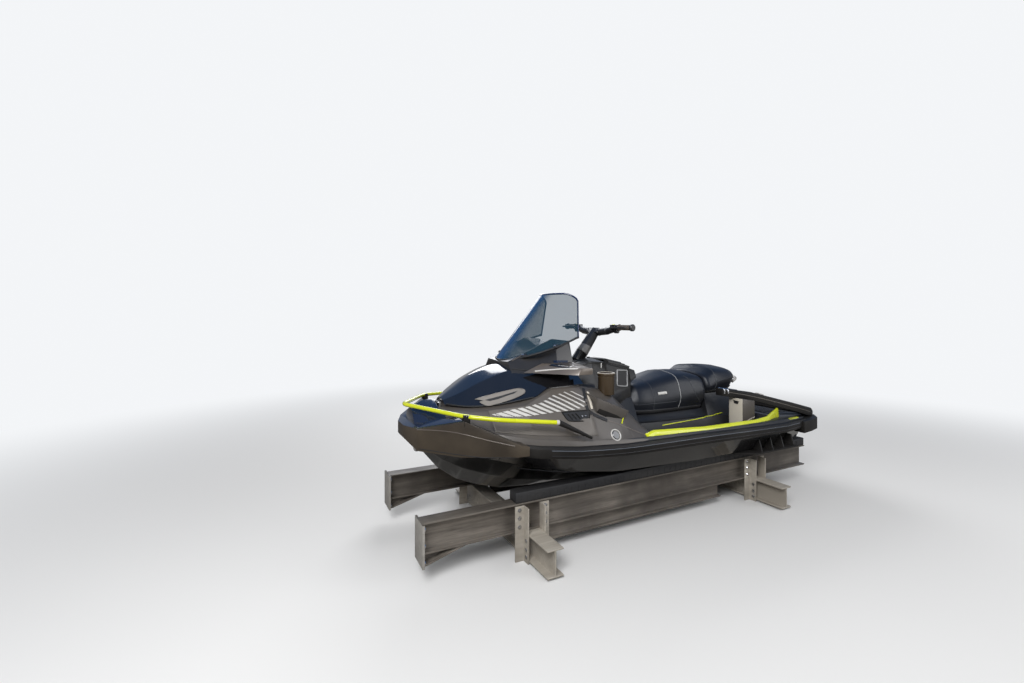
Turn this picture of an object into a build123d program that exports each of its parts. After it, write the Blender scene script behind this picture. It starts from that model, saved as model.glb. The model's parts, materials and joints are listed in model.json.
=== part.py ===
from build123d import *
import os
from collections import namedtuple
from math import cos, radians, sin

os.makedirs("parts", exist_ok=True)

# A three-seat personal watercraft, parked on the two arms and cross beams of its lift cradle.
# Millimetres. +X is the bow, +Y is port and +Z is up. The origin is on the floor under the
# middle of the craft's length. Heights in the tables are above the keel line, and
# keel_height lifts them all onto the cradle.

# Overall sizes of the craft. The tables are drawn at the drawn length.
drawn_length = 3450
length = 3450
stretch = length / drawn_length
half_beam = 625
stern_x = -length / 2
bow_x = length / 2
seat_gap = 0.3
run_gap = 5


def lengthwise(rows):
    """Rows or points of a table, with their stations moved in step with the craft's length."""
    return [type(row)._make((row.x * stretch, *row[1:])) if hasattr(row, "x")
            else (row[0] * stretch, *row[1:]) for row in rows]


# Seats
Seat = namedtuple("Seat", "x foot_y foot_z side_y side_z top_y top_z crown_z")
front_seat_rows = lengthwise([
    Seat(88, 140, 430.3, 160, 520, 100, 598, 615),
    Seat(40, 165, 430.3, 182, 525, 130, 630, 648),
    Seat(-84, 188, 430.3, 205, 525, 150, 652, 674),
    Seat(-220, 190, 430.3, 225, 528, 172, 682, 708),
    Seat(-344, 190, 430.3, 238, 535, 185, 700, 730),
    Seat(-480, 190, 430.3, 250, 545, 200, 700, 724),
    Seat(-594, 190, 430.3, 252, 560, 205, 682, 700),
])
rear_seat_rows = lengthwise([
    Seat(-601, 198, 545.3, 252, 600, 205, 695, 717),
    Seat(-714, 196, 545.3, 250, 622, 205, 735, 758),
    Seat(-860, 190, 545.3, 238, 640, 190, 728, 748),
    Seat(-960, 185, 545.3, 215, 650, 170, 708, 724),
    Seat(-1005, 170, 560, 190, 640, 150, 690, 702),
])

# Grab handle, rear rails and what stands on the platform
handle_radius = 11
handle_route = lengthwise([(-985, 150, 600), (-1065, 150, 640), (-1065, -150, 640),
                           (-985, -150, 600)])
handle_fillet = 40
Side = namedtuple("Side", "x inner_y outer_y low_z high_z")
rack_rows = lengthwise([
    Side(-640, 285, 345, 545, 600),
    Side(-900, 335, 400, 500, 562),
    Side(-1290, 405, 480, 400, 462),
    Side(-1560, 385, 470, 325.4, 395),
    Side(-1690, 320, 405, 325.5, 352),
])
rack_cross_width = 60
rack_cross_lap = 10
rack_bevel = 8
box_fore_x = -760 * stretch
box_aft_x = -905 * stretch
box_inner_y = 305
box_outer_y = 425
mat_thickness = 5
platform_mat = lengthwise([(-1190, 370), (-1550, 372)])
mat_margin = 14

# Knee pods, filler caps, sponsons and tow eyes
pod_profile = lengthwise([(684, 691), (378, 567), (440, 480), (600, 500), (690, 560)])
pod_inner_y = 320
pod_outer_y = 505
cap_centre = (470 * stretch, 345, 640)
cap_radius = 52
cap_height = 140
cap_lip = 6
cap_rim = 14
pod_taper = 8
cap_dish = 5
sponson_aft_x = -1190 * stretch
sponson_fore_x = -560 * stretch
sponson_inner_y = 480
sponson_outer_y = 585
sponson_low_z = 150
sponson_wall = 10
sponson_rib_count = 4
sponson_rib_start = 30
sponson_rib_width = 10
sponson_rib_height = 92
sponson_rib_top = 70
sponson_rib_inset = 8
sponson_nose = (150, 25)
eye_bore = 8
eye_radius = 20
eye_width = 12
eye_stand = 14
tow_eye_places = lengthwise([(1628, 0, 350.6), (-1400 - eye_stand, 300, 225),
                             (-1400 - eye_stand, -300, 225)])

# Cradle: two arms across two beams, with bolted angle brackets
arm_spacing = 400
arm_depth = 160
arm_width = 90
arm_flange = 9
arm_web = 7
arm_top = 88
arm_aft_x = -1500 * stretch
arm_fore_x = bow_x
haunch_length = 250
haunch_drop = 60
haunch_foot = 30
haunch_lap = 1
end_plate_thickness = 12
end_plate_margin = 60
stiffener_depth = 95
stiffener_width = 60
stiffener_aft_x = -510 * stretch
beam_depth = 150
beam_width = 100
beam_flange = 9
beam_web = 8
beam_half_length = 700
beam_xs = {"front": 1080, "rear": -860}
bracket_leg = 60
bracket_thickness = 8
bracket_below = 12
bracket_top_drop = 12
bunk_width = 84
bunk_height = 60
bunk_fore_x = 1180 * stretch

# The keel line's height over the floor, down through the arms, the beams and the brackets
keel_height = arm_depth - arm_top + beam_depth + bracket_below

# Hull below the bond line, one row to a station
Hull = namedtuple("Hull", "x keel_z chine_y chine_z rail_y rail_z")
hull_rows = lengthwise([
    Hull(-1400, 0, 435, 158, 500, 302),
    Hull(-1000, 0, 500, 160, 596, 325),
    Hull(-200, 0, 508, 165, 600, 345),
    Hull(500, 0, 500, 190, 600, 358),
    Hull(850, 2, 462, 228, 590, 380),
    Hull(1080, 22, 392, 272, 560, 405),
    Hull(1240, 68, 320, 308, 505, 425),
    Hull(1380, 128, 240, 340, 425, 443),
    Hull(1500, 215, 160, 370, 330, 458),
    Hull(1600, 335, 85, 410, 225, 472),
    Hull(1660, 420, 35, 440, 130, 480),
])
bond_cover = 8
strake_share = 0.5
strake_step = 22
strake_lip = 3
strake_back = 2
chine_flat = 36
chine_dip = 6

# Gunwale above the bond line, on the hull's own stations, then the stern overhang
gunwale_inset = 20
gunwale_heights = [338, 372, 382, 405, 435, 462, 488, 508, 522, 530, 532]
overhang_x = -1660 * stretch
overhang_y = 400
overhang_z = 290
overhang_inset = 12
platform_rise = (gunwale_heights[1] - gunwale_heights[0]) / (hull_rows[1].x - hull_rows[0].x)
overhang_top = gunwale_heights[0] - platform_rise * (hull_rows[0].x - overhang_x)

# Bumpers and rub rails
bumper_low_z = 370
bumper_high_z = 600
bumper_outer = lengthwise([(1190, 619), (1255, 600), (1486, 415), (1676, 215), (1725, 70)])
bumper_inner = lengthwise([(1160, 520), (1250, 470), (1440, 300), (1590, 130), (1620, 60)])
bumper_side = lengthwise([(1180, 408), (1500, 384), (1681, 393), (1725, 440), (1725, 513),
                          (1680, 516), (1481, 579), (1225, 462), (1180, 455)])
rail_below = 38
rail_above = 26
rail_proud = 25
rail_bite = 60
rail_edge = 14
rail_low_bevel = 6
rail_high_bevel = 8
rail_lap = 100
rear_low_z = 235
rear_high_z = 325
rear_notch_z = 268
rear_notch_y = 215
rear_notch_length = 400
rear_outer = lengthwise([(-1300, 566), (-1420, 550), (-1560, 515), (-1650, 440), (-1706, 300),
                         (-1725, 150)])
rear_inner = lengthwise([(-1300, 470), (-1420, 440), (-1560, 400), (-1610, 340), (-1645, 240),
                         (-1650, 150)])

# Lime tube round the bow and its brackets
tube_radius = 12
tube_aft_x = 985 * stretch
tube_aft_z = 556
tube_slope = 0.093
tube_half = lengthwise([(985, 582), (1307, 505), (1476, 403), (1716, 0)])
tube_radii = (400, 300, 75, 300, 400)
bracket_end_x = 773 * stretch
bracket_end_y = 598
bracket_end_z = 450
bracket_taper = 4
tube_clamp_place = (-12, -4, -22)
tube_clamp_size = (34, 44, 60)

# Lime rails on the gunwales
Lime = namedtuple("Lime", "x outer_y inner_y top_z")
lime_rows = lengthwise([
    Lime(-1130, 470, 442, 430),
    Lime(-900, 545, 515, 398),
    Lime(-750, 562, 530, 392),
    Lime(-200, 572, 540, 402),
    Lime(260, 574, 542, 428),
    Lime(330, 572, 545, 412),
])
lime_drop = 8
lime_outer_step = 6
lime_outer_bevel = 16
lime_inner_bevel = 6

# Grey panels on the flanks, turned over the shoulder by a share of it at each station
panel_thickness = 4
panel_foot_share = 0.12
panel_heads = lengthwise([(700, 0.85), (900, 0.85), (1100, 0.06), (1300, 0.06)])

# Footwells, a tapered tray each side of the seat pedestal
well_floor_z = 250
well_rim_z = 470
tray_top_z = 362
tray_wall = 12
well_floor = lengthwise([(-1060, 292), (-1060, 430), (-700, 470), (165, 470), (165, 264),
                         (-600, 264)])
well_rim = lengthwise([(-1150, 290), (-1150, 500), (-720, 552), (250, 556), (250, 256),
                       (-600, 256)])

# Seat pedestal
Pedestal = namedtuple("Pedestal", "x foot_y foot_z top_y top_z")
pedestal_rows = lengthwise([
    Pedestal(-1130, 240, 340, 150, 400),
    Pedestal(-1010, 250, 340, 190, 545),
    Pedestal(-600, 255, 340, 200, 545),
    Pedestal(-599, 255, 340, 190, 430),
    Pedestal(90, 250, 340, 175, 430),
    Pedestal(91, 250, 340, 160, 560),
    Pedestal(300, 250, 340, 160, 560),
])

# Front body of the deck, from the footwells' end to the nose
Front = namedtuple("Front", "x low_y low_z high_y high_z top_y top_z centre_z")
front_rows = lengthwise([
    Front(240, 580, 385, 440, 420, 190, 548, 560),
    Front(450, 578, 398, 470, 560, 330, 660, 672),
    Front(700, 572, 420, 470, 630, 345, 712, 708),
    Front(900, 562, 440, 455, 640, 345, 708, 705),
    Front(1100, 530, 462, 415, 625, 290, 650, 662),
    Front(1300, 440, 490, 330, 600, 220, 618, 628),
    Front(1440, 340, 505, 235, 588, 130, 600, 606),
    Front(1512, 275, 510, 180, 580, 70, 590, 598),
    Front(1532, 255, 512, 165, 585, 80, 625, 645),
    Front(1600, 190, 516, 120, 580, 60, 612, 636),
    Front(1670, 105, 520, 70, 570, 40, 588, 598),
])
front_foot_inset = 12
bin_fore_x = 1290 * stretch
bin_aft_x = 800 * stretch
bin_half_width = 185
bin_floor_z = 310
bin_top_z = 720

# Hood shell, hinged at the bow
Hood = namedtuple("Hood", "x edge_y edge_z mid_y mid_z centre_z")
hood_rows = lengthwise([
    Hood(1482, 80, 615, 56, 637, 647),
    Hood(1400, 190, 612, 120, 682, 703),
    Hood(1283, 280, 621, 160, 745, 779),
    Hood(1108, 345, 648, 190, 808, 841),
    Hood(1020, 360, 662, 196, 824, 853),
    Hood(900, 352, 716, 200, 836, 862),
    Hood(780, 352, 718, 200, 838, 864),
    Hood(650, 345, 718, 195, 834, 860),
])
hood_wall = 12
hood_pin_x = 1502 * stretch
hood_pin_z = 616
hood_pin_radius = 5
hood_pin_length = 120
hood_knuckle_wall = 6
hood_arm_size = (22, 24)
hinge_post_size = (14, 40)
hinge_post_gap = 2
hinge_post_drop = 12
hood_inner_share = 0.6

# Cowl on the hood, two peaks with a groove between
Cowl = namedtuple("Cowl", "x foot_share peak_y peak_z groove_z")
cowl_rows = lengthwise([
    Cowl(1090, 0.16, 150, 862, 856),
    Cowl(1020, 0.22, 155, 893, 874),
    Cowl(900, 0.34, 165, 948, 905),
    Cowl(780, 0.36, 178, 1000, 930),
    Cowl(650, 0.34, 185, 985, 925),
])

# Windshield, a leaned sheet
shield_wall = 5
shield_foot_z = 850
shield_top_z = 1303
shield_foot = (1088 * stretch, 625 * stretch, 262)
shield_top = (730 * stretch, 590 * stretch, 200)
shield_corner = 55
shield_cut_y = 400
shield_cut_drop = 30
shield_top_spare = 14
shield_cut_start = 60
shield_cut_length = 700
shield_sill = lengthwise([(1110, 838), (1085, 858), (640, 1000), (560, 1015)])

# Mirror wings under the cowl
wing_inner_y = 252
wing_outer_y = 462
wing_inner = lengthwise([(1030, 800), (700, 806), (655, 850), (900, 852)])
wing_outer = lengthwise([(770, 792), (668, 792), (652, 828), (740, 832)])
wing_aft_x = 664 * stretch
mirror_wall = 3
mirror_height = 34
mirror_width = 140
mirror_centre = (wing_aft_x, 372, 818)

# Steering
column_rake = 38
column_foot = (432 * stretch, 868)
neck_rise = 20
neck_sink = 50
neck_radius = 44
column_length = 205
column_radius = 34
column_foot_radius = 46
stem_radius = 14
stem_depth = 60
clamp_size = (46, 130, 40)
bar_radius = 11
bar_half_span = 388
bar_rise = 34
bar_root_y = 110
bar_tip_y = 235
grip_radius = 17
grip_length = 128
lever_reach = 62
lever_outline = [(200, 14), (228, 46), (335, lever_reach), (372, 48), (372, 36), (335, 48),
                 (246, 34), (236, 14)]
lever_thickness = 12
lever_mount_place = (2, 214, -4)
lever_mount_size = (46, 44, 44)
bar_below_top = 15
bar_sweep = (17, 8)
bar_fillet = 60
grip_flange = 6
grip_end = 4

# Console and glove box
Console = namedtuple("Console", "x foot_y foot_z waist_z top_y top_z ridge_z")
console_rows = lengthwise([
    Console(30, 138, 700, 712, 118, 752, 770),
    Console(92, 150, 668, 690, 128, 768, 788),
    Console(93, 150, 480, 640, 128, 768, 788),
    Console(330, 200, 480, 640, 150, 826, 842),
    Console(450, 222, 480, 640, 165, 838, 852),
    Console(610, 240, 480, 640, 175, 800, 815),
])
glove_fore_x = 300 * stretch
glove_aft_x = 80 * stretch
glove_half_width = 98
glove_depth = 110
glove_mouth_z = 818
glove_slope = 0.23
glove_clearance = 80
lid_thickness = 10
lid_drop = 8
lid_corner = 18
lid_crown_rise = 8
lid_crown_taper = 30
lid_crown_margins = (50, 60)
lid_pin_radius = 4
lid_knuckle_wall = 4
lid_pin_inset = 14
lid_knuckle_length = 120
lid_ear_length = 24
lid_ear_width = 10
lid_ear_depth = 50

# Jet pump and what steers it
pump_z = 138
pump_bore = 78
pump_wall = 12
pump_flange = 14
hub_cone_length = 60
hub_cone_taper = 22
vane_lap = 6
impeller_radius = 72.5
hub_radius = 30
shaft_radius = 13
shaft_bore = 18.5
impeller_x = -1255 * stretch
impeller_length = 80
blade_count = 4
blade_thickness = 5
blade_pitch = 52
blade_inset = 4
blade_lap = 6
hub_play = 1
shaft_end = 10
housing_fore_x = -1200 * stretch
stator_fore_x = -1330 * stretch
stator_aft_x = -1430 * stretch
vane_count = 8
vane_thickness = 4
throat_x = -1548 * stretch
throat_radius = 44
throat_wall = 8
throat_length = 30
nozzle_pivot_x = -1562 * stretch
nozzle_socket_radius = 70
nozzle_wall = 6
nozzle_skirt = 14
nozzle_boss = (6, 8)
nozzle_bore_length = 30
nozzle_exit_x = -1640 * stretch
nozzle_exit_radius = 44
bucket_radius = 132
bucket_wall = 6
bucket_inner_y = 92
bucket_pivot_z = pump_z + 8
bucket_fore_angle = 98
bucket_aft_angle = 152
bucket_ear = (16, 14)
pivot_pin_radius = 6
pivot_pin_length = 18
pivot_pin_offset = 7
cheek_pin_length = 24
cheek_pin_offset = 10
strap_radius = nozzle_socket_radius + 12
strap_length = 64
strap_width = 26
strap_thickness = 6
strap_set_back = 2
strap_leg_inset = 12
strap_leg_length = 20
strap_leg_foot = throat_radius + 3
cheek_arm_fore_x = -1440 * stretch
cheek_arm_aft_x = -1574 * stretch
cheek_arm_y = 82
cheek_arm_width = 10
cheek_arm_height = 28
nozzle_fore_x = nozzle_pivot_x + 6
plate_z = 26
plate_thickness = 8
plate_aft_x = -1600 * stretch
grate_fore_x = -622 * stretch
grate_aft_x = -1086 * stretch
grate_z = 8
grate_bar = 8
grate_bar_height = 14
grate_end_size = (20, 12)
grate_bar_count = 5
grate_pitch = 30
tunnel_half_width = 130
tunnel_top_z = 292
tunnel_fore_x = housing_fore_x
tunnel_below = 40
shaft_tunnel_length = 700
duct_profile = lengthwise([(-600, -20), (-640, 30), (-1090, pump_z + 62),
                           (-1130, pump_z + pump_bore), (-1200, pump_z + pump_bore),
                           (-1200, pump_z - pump_bore), (-1110, 40), (-1050, -20)])

# Engine, one plain block
engine_size = (700, 330, 330)
engine_centre_x = 20 * stretch
engine_floor_z = 70

# Boarding ladder round the pump
ladder_pivot_x = -1600 * stretch
ladder_pivot_z = 70
ladder_half_width = 186
ladder_reach = 204
ladder_lean = 31
ladder_radius = 10
ladder_fillet = 38
ladder_eye = (4, 22)
ladder_ear_offset = 14.5
ladder_ear_width = 5
ladder_ear_reach = (4, 12)
ladder_foot_drop = 26
ladder_foot_rise = 30
ladder_pin_length = 34


def up(z):
    """Height above the floor of a height above the keel line."""
    return keel_height + z


def across(x):
    """Plane across the craft at x, with its own x to port and y up from the keel line."""
    return Plane(origin=(x, 0, keel_height), x_dir=(0, 1, 0), z_dir=(1, 0, 0))


def beside(y=0):
    """Upright plane along the craft at y, with its own x to the bow and y up from the keel line."""
    return Plane(origin=(0, y, keel_height), x_dir=(1, 0, 0), z_dir=(0, -1, 0))


def level(z=0):
    """Level plane at a height above the keel line."""
    return Plane.XY.offset(up(z))


def outline(plane, points):
    """Face inside straight lines through points on a plane."""
    with BuildSketch(plane) as face:
        with BuildLine():
            Polyline(*points, close=True)
        make_face()
    return face.sketch


def mirrored(half):
    """A half section, from the centre line outwards and back, with its other side added."""
    return half + [(-y, z) for y, z in reversed(half) if y > 0]


def save(piece, name):
    """Label a finished piece and write it."""
    piece.label = name
    export_step(piece, f"parts/{name}.step")


# Hull
def hull_section(row):
    """Half section of the hull: keel, strake, chine and rail."""
    strake_y = row.chine_y * strake_share
    strake_z = row.keel_z + (row.chine_z - row.keel_z) * strake_share
    return [
        (0, row.keel_z),
        (strake_y, strake_z - strake_lip),
        (strake_y + min(strake_step, strake_y / 4), strake_z - strake_back),
        (row.chine_y - min(chine_flat, row.chine_y / 4), row.chine_z - chine_dip),
        (row.chine_y, row.chine_z),
        (row.rail_y, row.rail_z),
        (0, row.rail_z),
    ]


def rail_at(x):
    """Height of the bond line at x, straight between the hull's stations."""
    for aft, fore in zip(hull_rows, hull_rows[1:]):
        if x <= fore.x:
            return aft.rail_z + (fore.rail_z - aft.rail_z) * (x - aft.x) / (fore.x - aft.x)
    return hull_rows[-1].rail_z


def well_face(z, side, grow=0):
    """Level face of a footwell on one side at a height, grown by the tray's wall."""
    share = (z + grow - well_floor_z) / (well_rim_z - well_floor_z)
    points = [(x + (rim_x - x) * share, side * (y + (rim_y - y) * share))
              for (x, y), (rim_x, rim_y) in zip(well_floor, well_rim)]
    with BuildSketch(level(z)) as face:
        with BuildLine():
            Polyline(*points, close=True)
        make_face()
        if grow:
            offset(amount=grow, kind=Kind.INTERSECTION)
    return face.sketch


def tray_faces(side):
    """Bottom and top face of the outside of a footwell's tray."""
    return [well_face(z, side, tray_wall) for z in (well_floor_z - tray_wall, tray_top_z)]


engine_length, engine_width, engine_height = engine_size
engine_box = (engine_centre_x, 0, up(engine_floor_z + engine_height / 2))
bin_length = bin_fore_x - bin_aft_x
bin_centre_x = (bin_fore_x + bin_aft_x) / 2
bin_height = bin_top_z - bin_floor_z
bin_box = (bin_centre_x, 0, up(bin_floor_z + bin_height / 2))
tunnel_length = tunnel_fore_x - hull_rows[0].x

with BuildPart() as hull:
    loft([outline(across(row.x), mirrored(hull_section(row))) for row in hull_rows], ruled=True)
    for side in (1, -1):
        loft(tray_faces(side), ruled=True, mode=Mode.SUBTRACT)
    with Locations(engine_box):
        Box(engine_length, engine_width, engine_height, mode=Mode.SUBTRACT)
    with Locations(bin_box):
        Box(bin_length, 2 * bin_half_width, bin_height, mode=Mode.SUBTRACT)
    with Locations((tunnel_fore_x - tunnel_length / 2, 0, up((tunnel_top_z - tunnel_below) / 2))):
        Box(tunnel_length, 2 * tunnel_half_width, tunnel_top_z + tunnel_below, mode=Mode.SUBTRACT)
    extrude(outline(beside(), duct_profile), amount=pump_bore, both=True, mode=Mode.SUBTRACT)
    with Locations(Location((engine_centre_x - engine_length / 2, 0, up(pump_z)), (0, -90, 0))):
        Cylinder(shaft_bore, shaft_tunnel_length, align=(Align.CENTER, Align.CENTER, Align.MIN),
                 mode=Mode.SUBTRACT)
save(hull.part, "hull")

with BuildPart() as engine_block:
    with Locations(engine_box):
        Box(engine_length, engine_width, engine_height)
save(engine_block.part, "engine_block")


# Deck moulding: gunwales, footwell trays, pedestal, front body and stern platform
def gunwale_section(row, top):
    """Half section of the deck from the bond line to the gunwale's top."""
    return [(0, row.rail_z), (row.rail_y, row.rail_z), (row.rail_y - gunwale_inset, top), (0, top)]


def front_section(row):
    """Half section of the front body, from inside the gunwales up."""
    foot = rail_at(row.x) + bond_cover
    return [(0, foot), (row.low_y - front_foot_inset, foot), (row.low_y, row.low_z),
            (row.high_y, row.high_z), (row.top_y, row.top_z), (0, row.centre_z)]


def pedestal_section(row):
    """Half section of the seat pedestal, from inside the deck up."""
    foot = rail_at(row.x) + bond_cover
    return [(0, foot), (row.foot_y, foot), (row.top_y, row.top_z), (0, row.top_z)]


def overhang_section():
    """Half section of the stern platform's end."""
    return [(0, overhang_z), (overhang_y, overhang_z), (overhang_y - overhang_inset, overhang_top),
            (0, overhang_top)]


transom = hull_rows[0]
with BuildPart() as deck:
    loft([outline(across(row.x), mirrored(gunwale_section(row, top)))
          for row, top in zip(hull_rows, gunwale_heights)], ruled=True)
    loft([outline(across(transom.x), mirrored(gunwale_section(transom, gunwale_heights[0]))),
          outline(across(overhang_x), mirrored(overhang_section()))], ruled=True)
    loft([outline(across(row.x), mirrored(front_section(row))) for row in front_rows], ruled=True)
    loft([outline(across(row.x), mirrored(pedestal_section(row))) for row in pedestal_rows],
         ruled=True)
    for side in (1, -1):
        loft(tray_faces(side), ruled=True)
    for side in (1, -1):
        loft([well_face(well_floor_z, side), well_face(well_rim_z, side)], ruled=True,
             mode=Mode.SUBTRACT)
    with Locations(engine_box):
        Box(engine_length, engine_width, engine_height, mode=Mode.SUBTRACT)
    with Locations(bin_box):
        Box(bin_length, 2 * bin_half_width, bin_height, mode=Mode.SUBTRACT)
save(deck.part, "deck")


# Bumpers and rub rails round the bond line
def crescent(outer, inner, low, high):
    """Solid between two plan outlines, from one height to another."""
    with BuildPart() as band:
        extrude(outline(level(low), outer), amount=high - low)
        extrude(outline(level(low), inner), amount=high - low, mode=Mode.SUBTRACT)
    return band.part


def round_plan(half):
    """Plan outline from its port half, stern to bow, with the starboard side added."""
    return half + [(x, -y) for x, y in reversed(half)]


with BuildPart() as front_bumper:
    add(crescent(round_plan(bumper_outer), round_plan(bumper_inner), bumper_low_z, bumper_high_z))
    extrude(outline(beside(), bumper_side), amount=half_beam, both=True, mode=Mode.INTERSECT)
    add(hull.part, mode=Mode.SUBTRACT)
    add(deck.part, mode=Mode.SUBTRACT)
save(front_bumper.part, "front_bumper")


def rail_section(row, side):
    """Section of a rub rail over the bond line at a station of the hull."""
    outer = min(row.rail_y + rail_proud, half_beam)
    return [(side * y, z) for y, z in [
        (row.rail_y - rail_bite, row.rail_z - rail_below),
        (outer - rail_low_bevel, row.rail_z - rail_below),
        (outer, row.rail_z - rail_below + rail_edge), (outer, row.rail_z + rail_above - rail_edge),
        (outer - rail_high_bevel, row.rail_z + rail_above),
        (row.rail_y - rail_bite, row.rail_z + rail_above)]]


side_rows = [row for row in hull_rows if row.x < bumper_outer[0][0] + rail_lap]
with BuildPart() as rub_rails:
    for side in (1, -1):
        loft([outline(across(row.x), rail_section(row, side)) for row in side_rows], ruled=True)
    add(hull.part, mode=Mode.SUBTRACT)
    add(deck.part, mode=Mode.SUBTRACT)
    add(front_bumper.part, mode=Mode.SUBTRACT)
    add(crescent(round_plan(rear_outer), round_plan(rear_inner), rear_low_z, rear_high_z),
        mode=Mode.SUBTRACT)
save(rub_rails.part, "rub_rails")

with BuildPart() as rear_bumper:
    add(crescent(round_plan(rear_outer), round_plan(rear_inner), rear_low_z, rear_high_z))
    with Locations((stern_x, 0, up(rear_low_z))):
        Box(rear_notch_length, 2 * rear_notch_y, rear_notch_z - rear_low_z, mode=Mode.SUBTRACT,
            align=(Align.CENTER, Align.CENTER, Align.MIN))
    add(hull.part, mode=Mode.SUBTRACT)
    add(deck.part, mode=Mode.SUBTRACT)
save(rear_bumper.part, "rear_bumper")


# Lime tube round the bow, on a plane that falls towards the stern
tube_plane = Plane(origin=(tube_aft_x, 0, up(tube_aft_z)), x_dir=(1, 0, tube_slope),
                   z_dir=(-tube_slope, 0, 1))
tube_points = [(x - tube_aft_x, y) for x, y in tube_half]
tube_route = tube_points + [(x, -y) for x, y in reversed(tube_points[:-1])]

with BuildPart() as bow_tube:
    with BuildLine(tube_plane) as tube_line:
        FilletPolyline(*tube_route, radius=tube_radii)
    with BuildSketch(Plane(origin=tube_line.line @ 0, z_dir=tube_line.line % 0)):
        Circle(tube_radius)
    sweep()
save(bow_tube.part, "bow_tube")

with BuildPart() as bow_tube_brackets:
    for side in (1, -1):
        start = Vector(tube_aft_x - 1, side * tube_half[0][1], up(tube_aft_z))
        end = Vector(bracket_end_x, side * bracket_end_y, up(bracket_end_z))
        way = end - start
        with BuildSketch(Plane(origin=start, z_dir=way)) as broad:
            Circle(tube_radius + bracket_taper)
        with BuildSketch(Plane(origin=end, z_dir=way)) as narrow:
            Circle(tube_radius - bracket_taper)
        loft([broad.sketch, narrow.sketch])
        clamp_x, clamp_y = tube_half[2]
        clamp_z = tube_aft_z + tube_slope * (clamp_x - tube_aft_x)
        with Locations((clamp_x + tube_clamp_place[0], side * (clamp_y + tube_clamp_place[1]),
                        up(clamp_z + tube_clamp_place[2]))):
            Box(*tube_clamp_size)
    for piece in (deck, front_bumper, bow_tube):
        add(piece.part, mode=Mode.SUBTRACT)
save(bow_tube_brackets.part, "bow_tube_brackets")


# Lime rails on the gunwales
def gunwale_at(x):
    """Outer corner of the gunwale's top at x, straight between the hull's stations."""
    rows = list(zip(hull_rows, gunwale_heights))
    for (aft, aft_top), (fore, fore_top) in zip(rows, rows[1:]):
        if x <= fore.x:
            share = (x - aft.x) / (fore.x - aft.x)
            return (aft.rail_y + (fore.rail_y - aft.rail_y) * share - gunwale_inset,
                    aft_top + (fore_top - aft_top) * share)
    return hull_rows[-1].rail_y - gunwale_inset, gunwale_heights[-1]


def lime_section(row, side):
    """Section of a lime rail at one of its own stations, seated on the gunwale's top."""
    seat = gunwale_at(row.x)[1]
    return [(side * y, z) for y, z in [
        (row.outer_y, seat), (row.outer_y - lime_outer_step, row.top_z - lime_drop),
        (row.outer_y - lime_outer_bevel, row.top_z), (row.inner_y + lime_inner_bevel, row.top_z),
        (row.inner_y, row.top_z - lime_drop), (row.inner_y, seat)]]


with BuildPart() as gunwale_rails:
    for side in (1, -1):
        loft([outline(across(row.x), lime_section(row, side)) for row in lime_rows], ruled=True)
    add(deck.part, mode=Mode.SUBTRACT)
save(gunwale_rails.part, "gunwale_rails")


# Grey panels on the flanks of the front body
def outward(start, end):
    """Step from a line of a half section to the panel's outside over it."""
    way = (end - start).normalized()
    return Vector(way.Y, -way.X) * panel_thickness


def panel_section(row, head_share, side):
    """Section of a side panel laid on the deck's flank and over its shoulder."""
    low = Vector(row.low_y, row.low_z)
    high = Vector(row.high_y, row.high_z)
    top = Vector(row.top_y, row.top_z)
    out = outward(low, high)
    over = outward(high, top)
    corner = high + (out + over) / (1 + out.dot(over) / panel_thickness**2)
    foot = low + (high - low) * panel_foot_share
    head = high + (top - high) * head_share
    return [(side * p.X, p.Y) for p in (foot, high, head, head + over, corner, foot + out)]


panel_rows = [(row, share) for x, share in panel_heads for row in front_rows if row.x == x]
with BuildPart() as side_panels:
    for side in (1, -1):
        loft([outline(across(row.x), panel_section(row, share, side))
              for row, share in panel_rows], ruled=True)
save(side_panels.part, "side_panels")


# Hood shell and its hinge
def hood_section(row, inset=0):
    """Half section under the hood's outside, or under its inside."""
    return [(0, row.edge_z), (row.edge_y - inset, row.edge_z),
            (row.mid_y - hood_inner_share * inset, row.mid_z - inset), (0, row.centre_z - inset)]


hinge_place = Location((hood_pin_x, 0, up(hood_pin_z)), (90, 0, 0))
hood_knuckle_length = hood_pin_length / 3 - 2 * seat_gap

with BuildPart() as hood_core:
    loft([outline(across(row.x), mirrored(hood_section(row))) for row in hood_rows], ruled=True)

with BuildPart() as hood:
    add(hood_core.part)
    loft([outline(across(row.x), mirrored(hood_section(row, hood_wall))) for row in hood_rows],
         ruled=True, mode=Mode.SUBTRACT)
    with Locations(hinge_place):
        Cylinder(hood_pin_radius + hood_knuckle_wall, hood_knuckle_length)
    with Locations((hood_pin_x - hood_knuckle_wall, 0, up(hood_pin_z))):
        Box(hood_arm_size[0], hood_knuckle_length, hood_arm_size[1],
            align=(Align.MAX, Align.CENTER, Align.MIN))
    with Locations(hinge_place):
        Cylinder(hood_pin_radius + seat_gap, 2 * hood_pin_length, mode=Mode.SUBTRACT)
save(hood.part, "hood")

with BuildPart() as hood_hinge:
    with Locations(hinge_place):
        Cylinder(hood_pin_radius, hood_pin_length)
    for side in (1, -1):
        with Locations((hood_pin_x, side * hood_pin_length / 3,
                        up(hood_pin_z - hinge_post_drop))):
            Box(hinge_post_size[0], hood_pin_length / 3 - hinge_post_gap, hinge_post_size[1])
    add(deck.part, mode=Mode.SUBTRACT)
    add(hood.part, mode=Mode.SUBTRACT)
save(hood_hinge.part, "hood_hinge")


# Cowl on the hood
def hood_at(x):
    """The hood's middle and edge points and crown at x, straight between its stations."""
    for fore, aft in zip(hood_rows, hood_rows[1:]):
        if x >= aft.x:
            share = (x - fore.x) / (aft.x - fore.x)
            return Hood(*[a + (b - a) * share for a, b in zip(fore, aft)])
    return hood_rows[-1]


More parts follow.
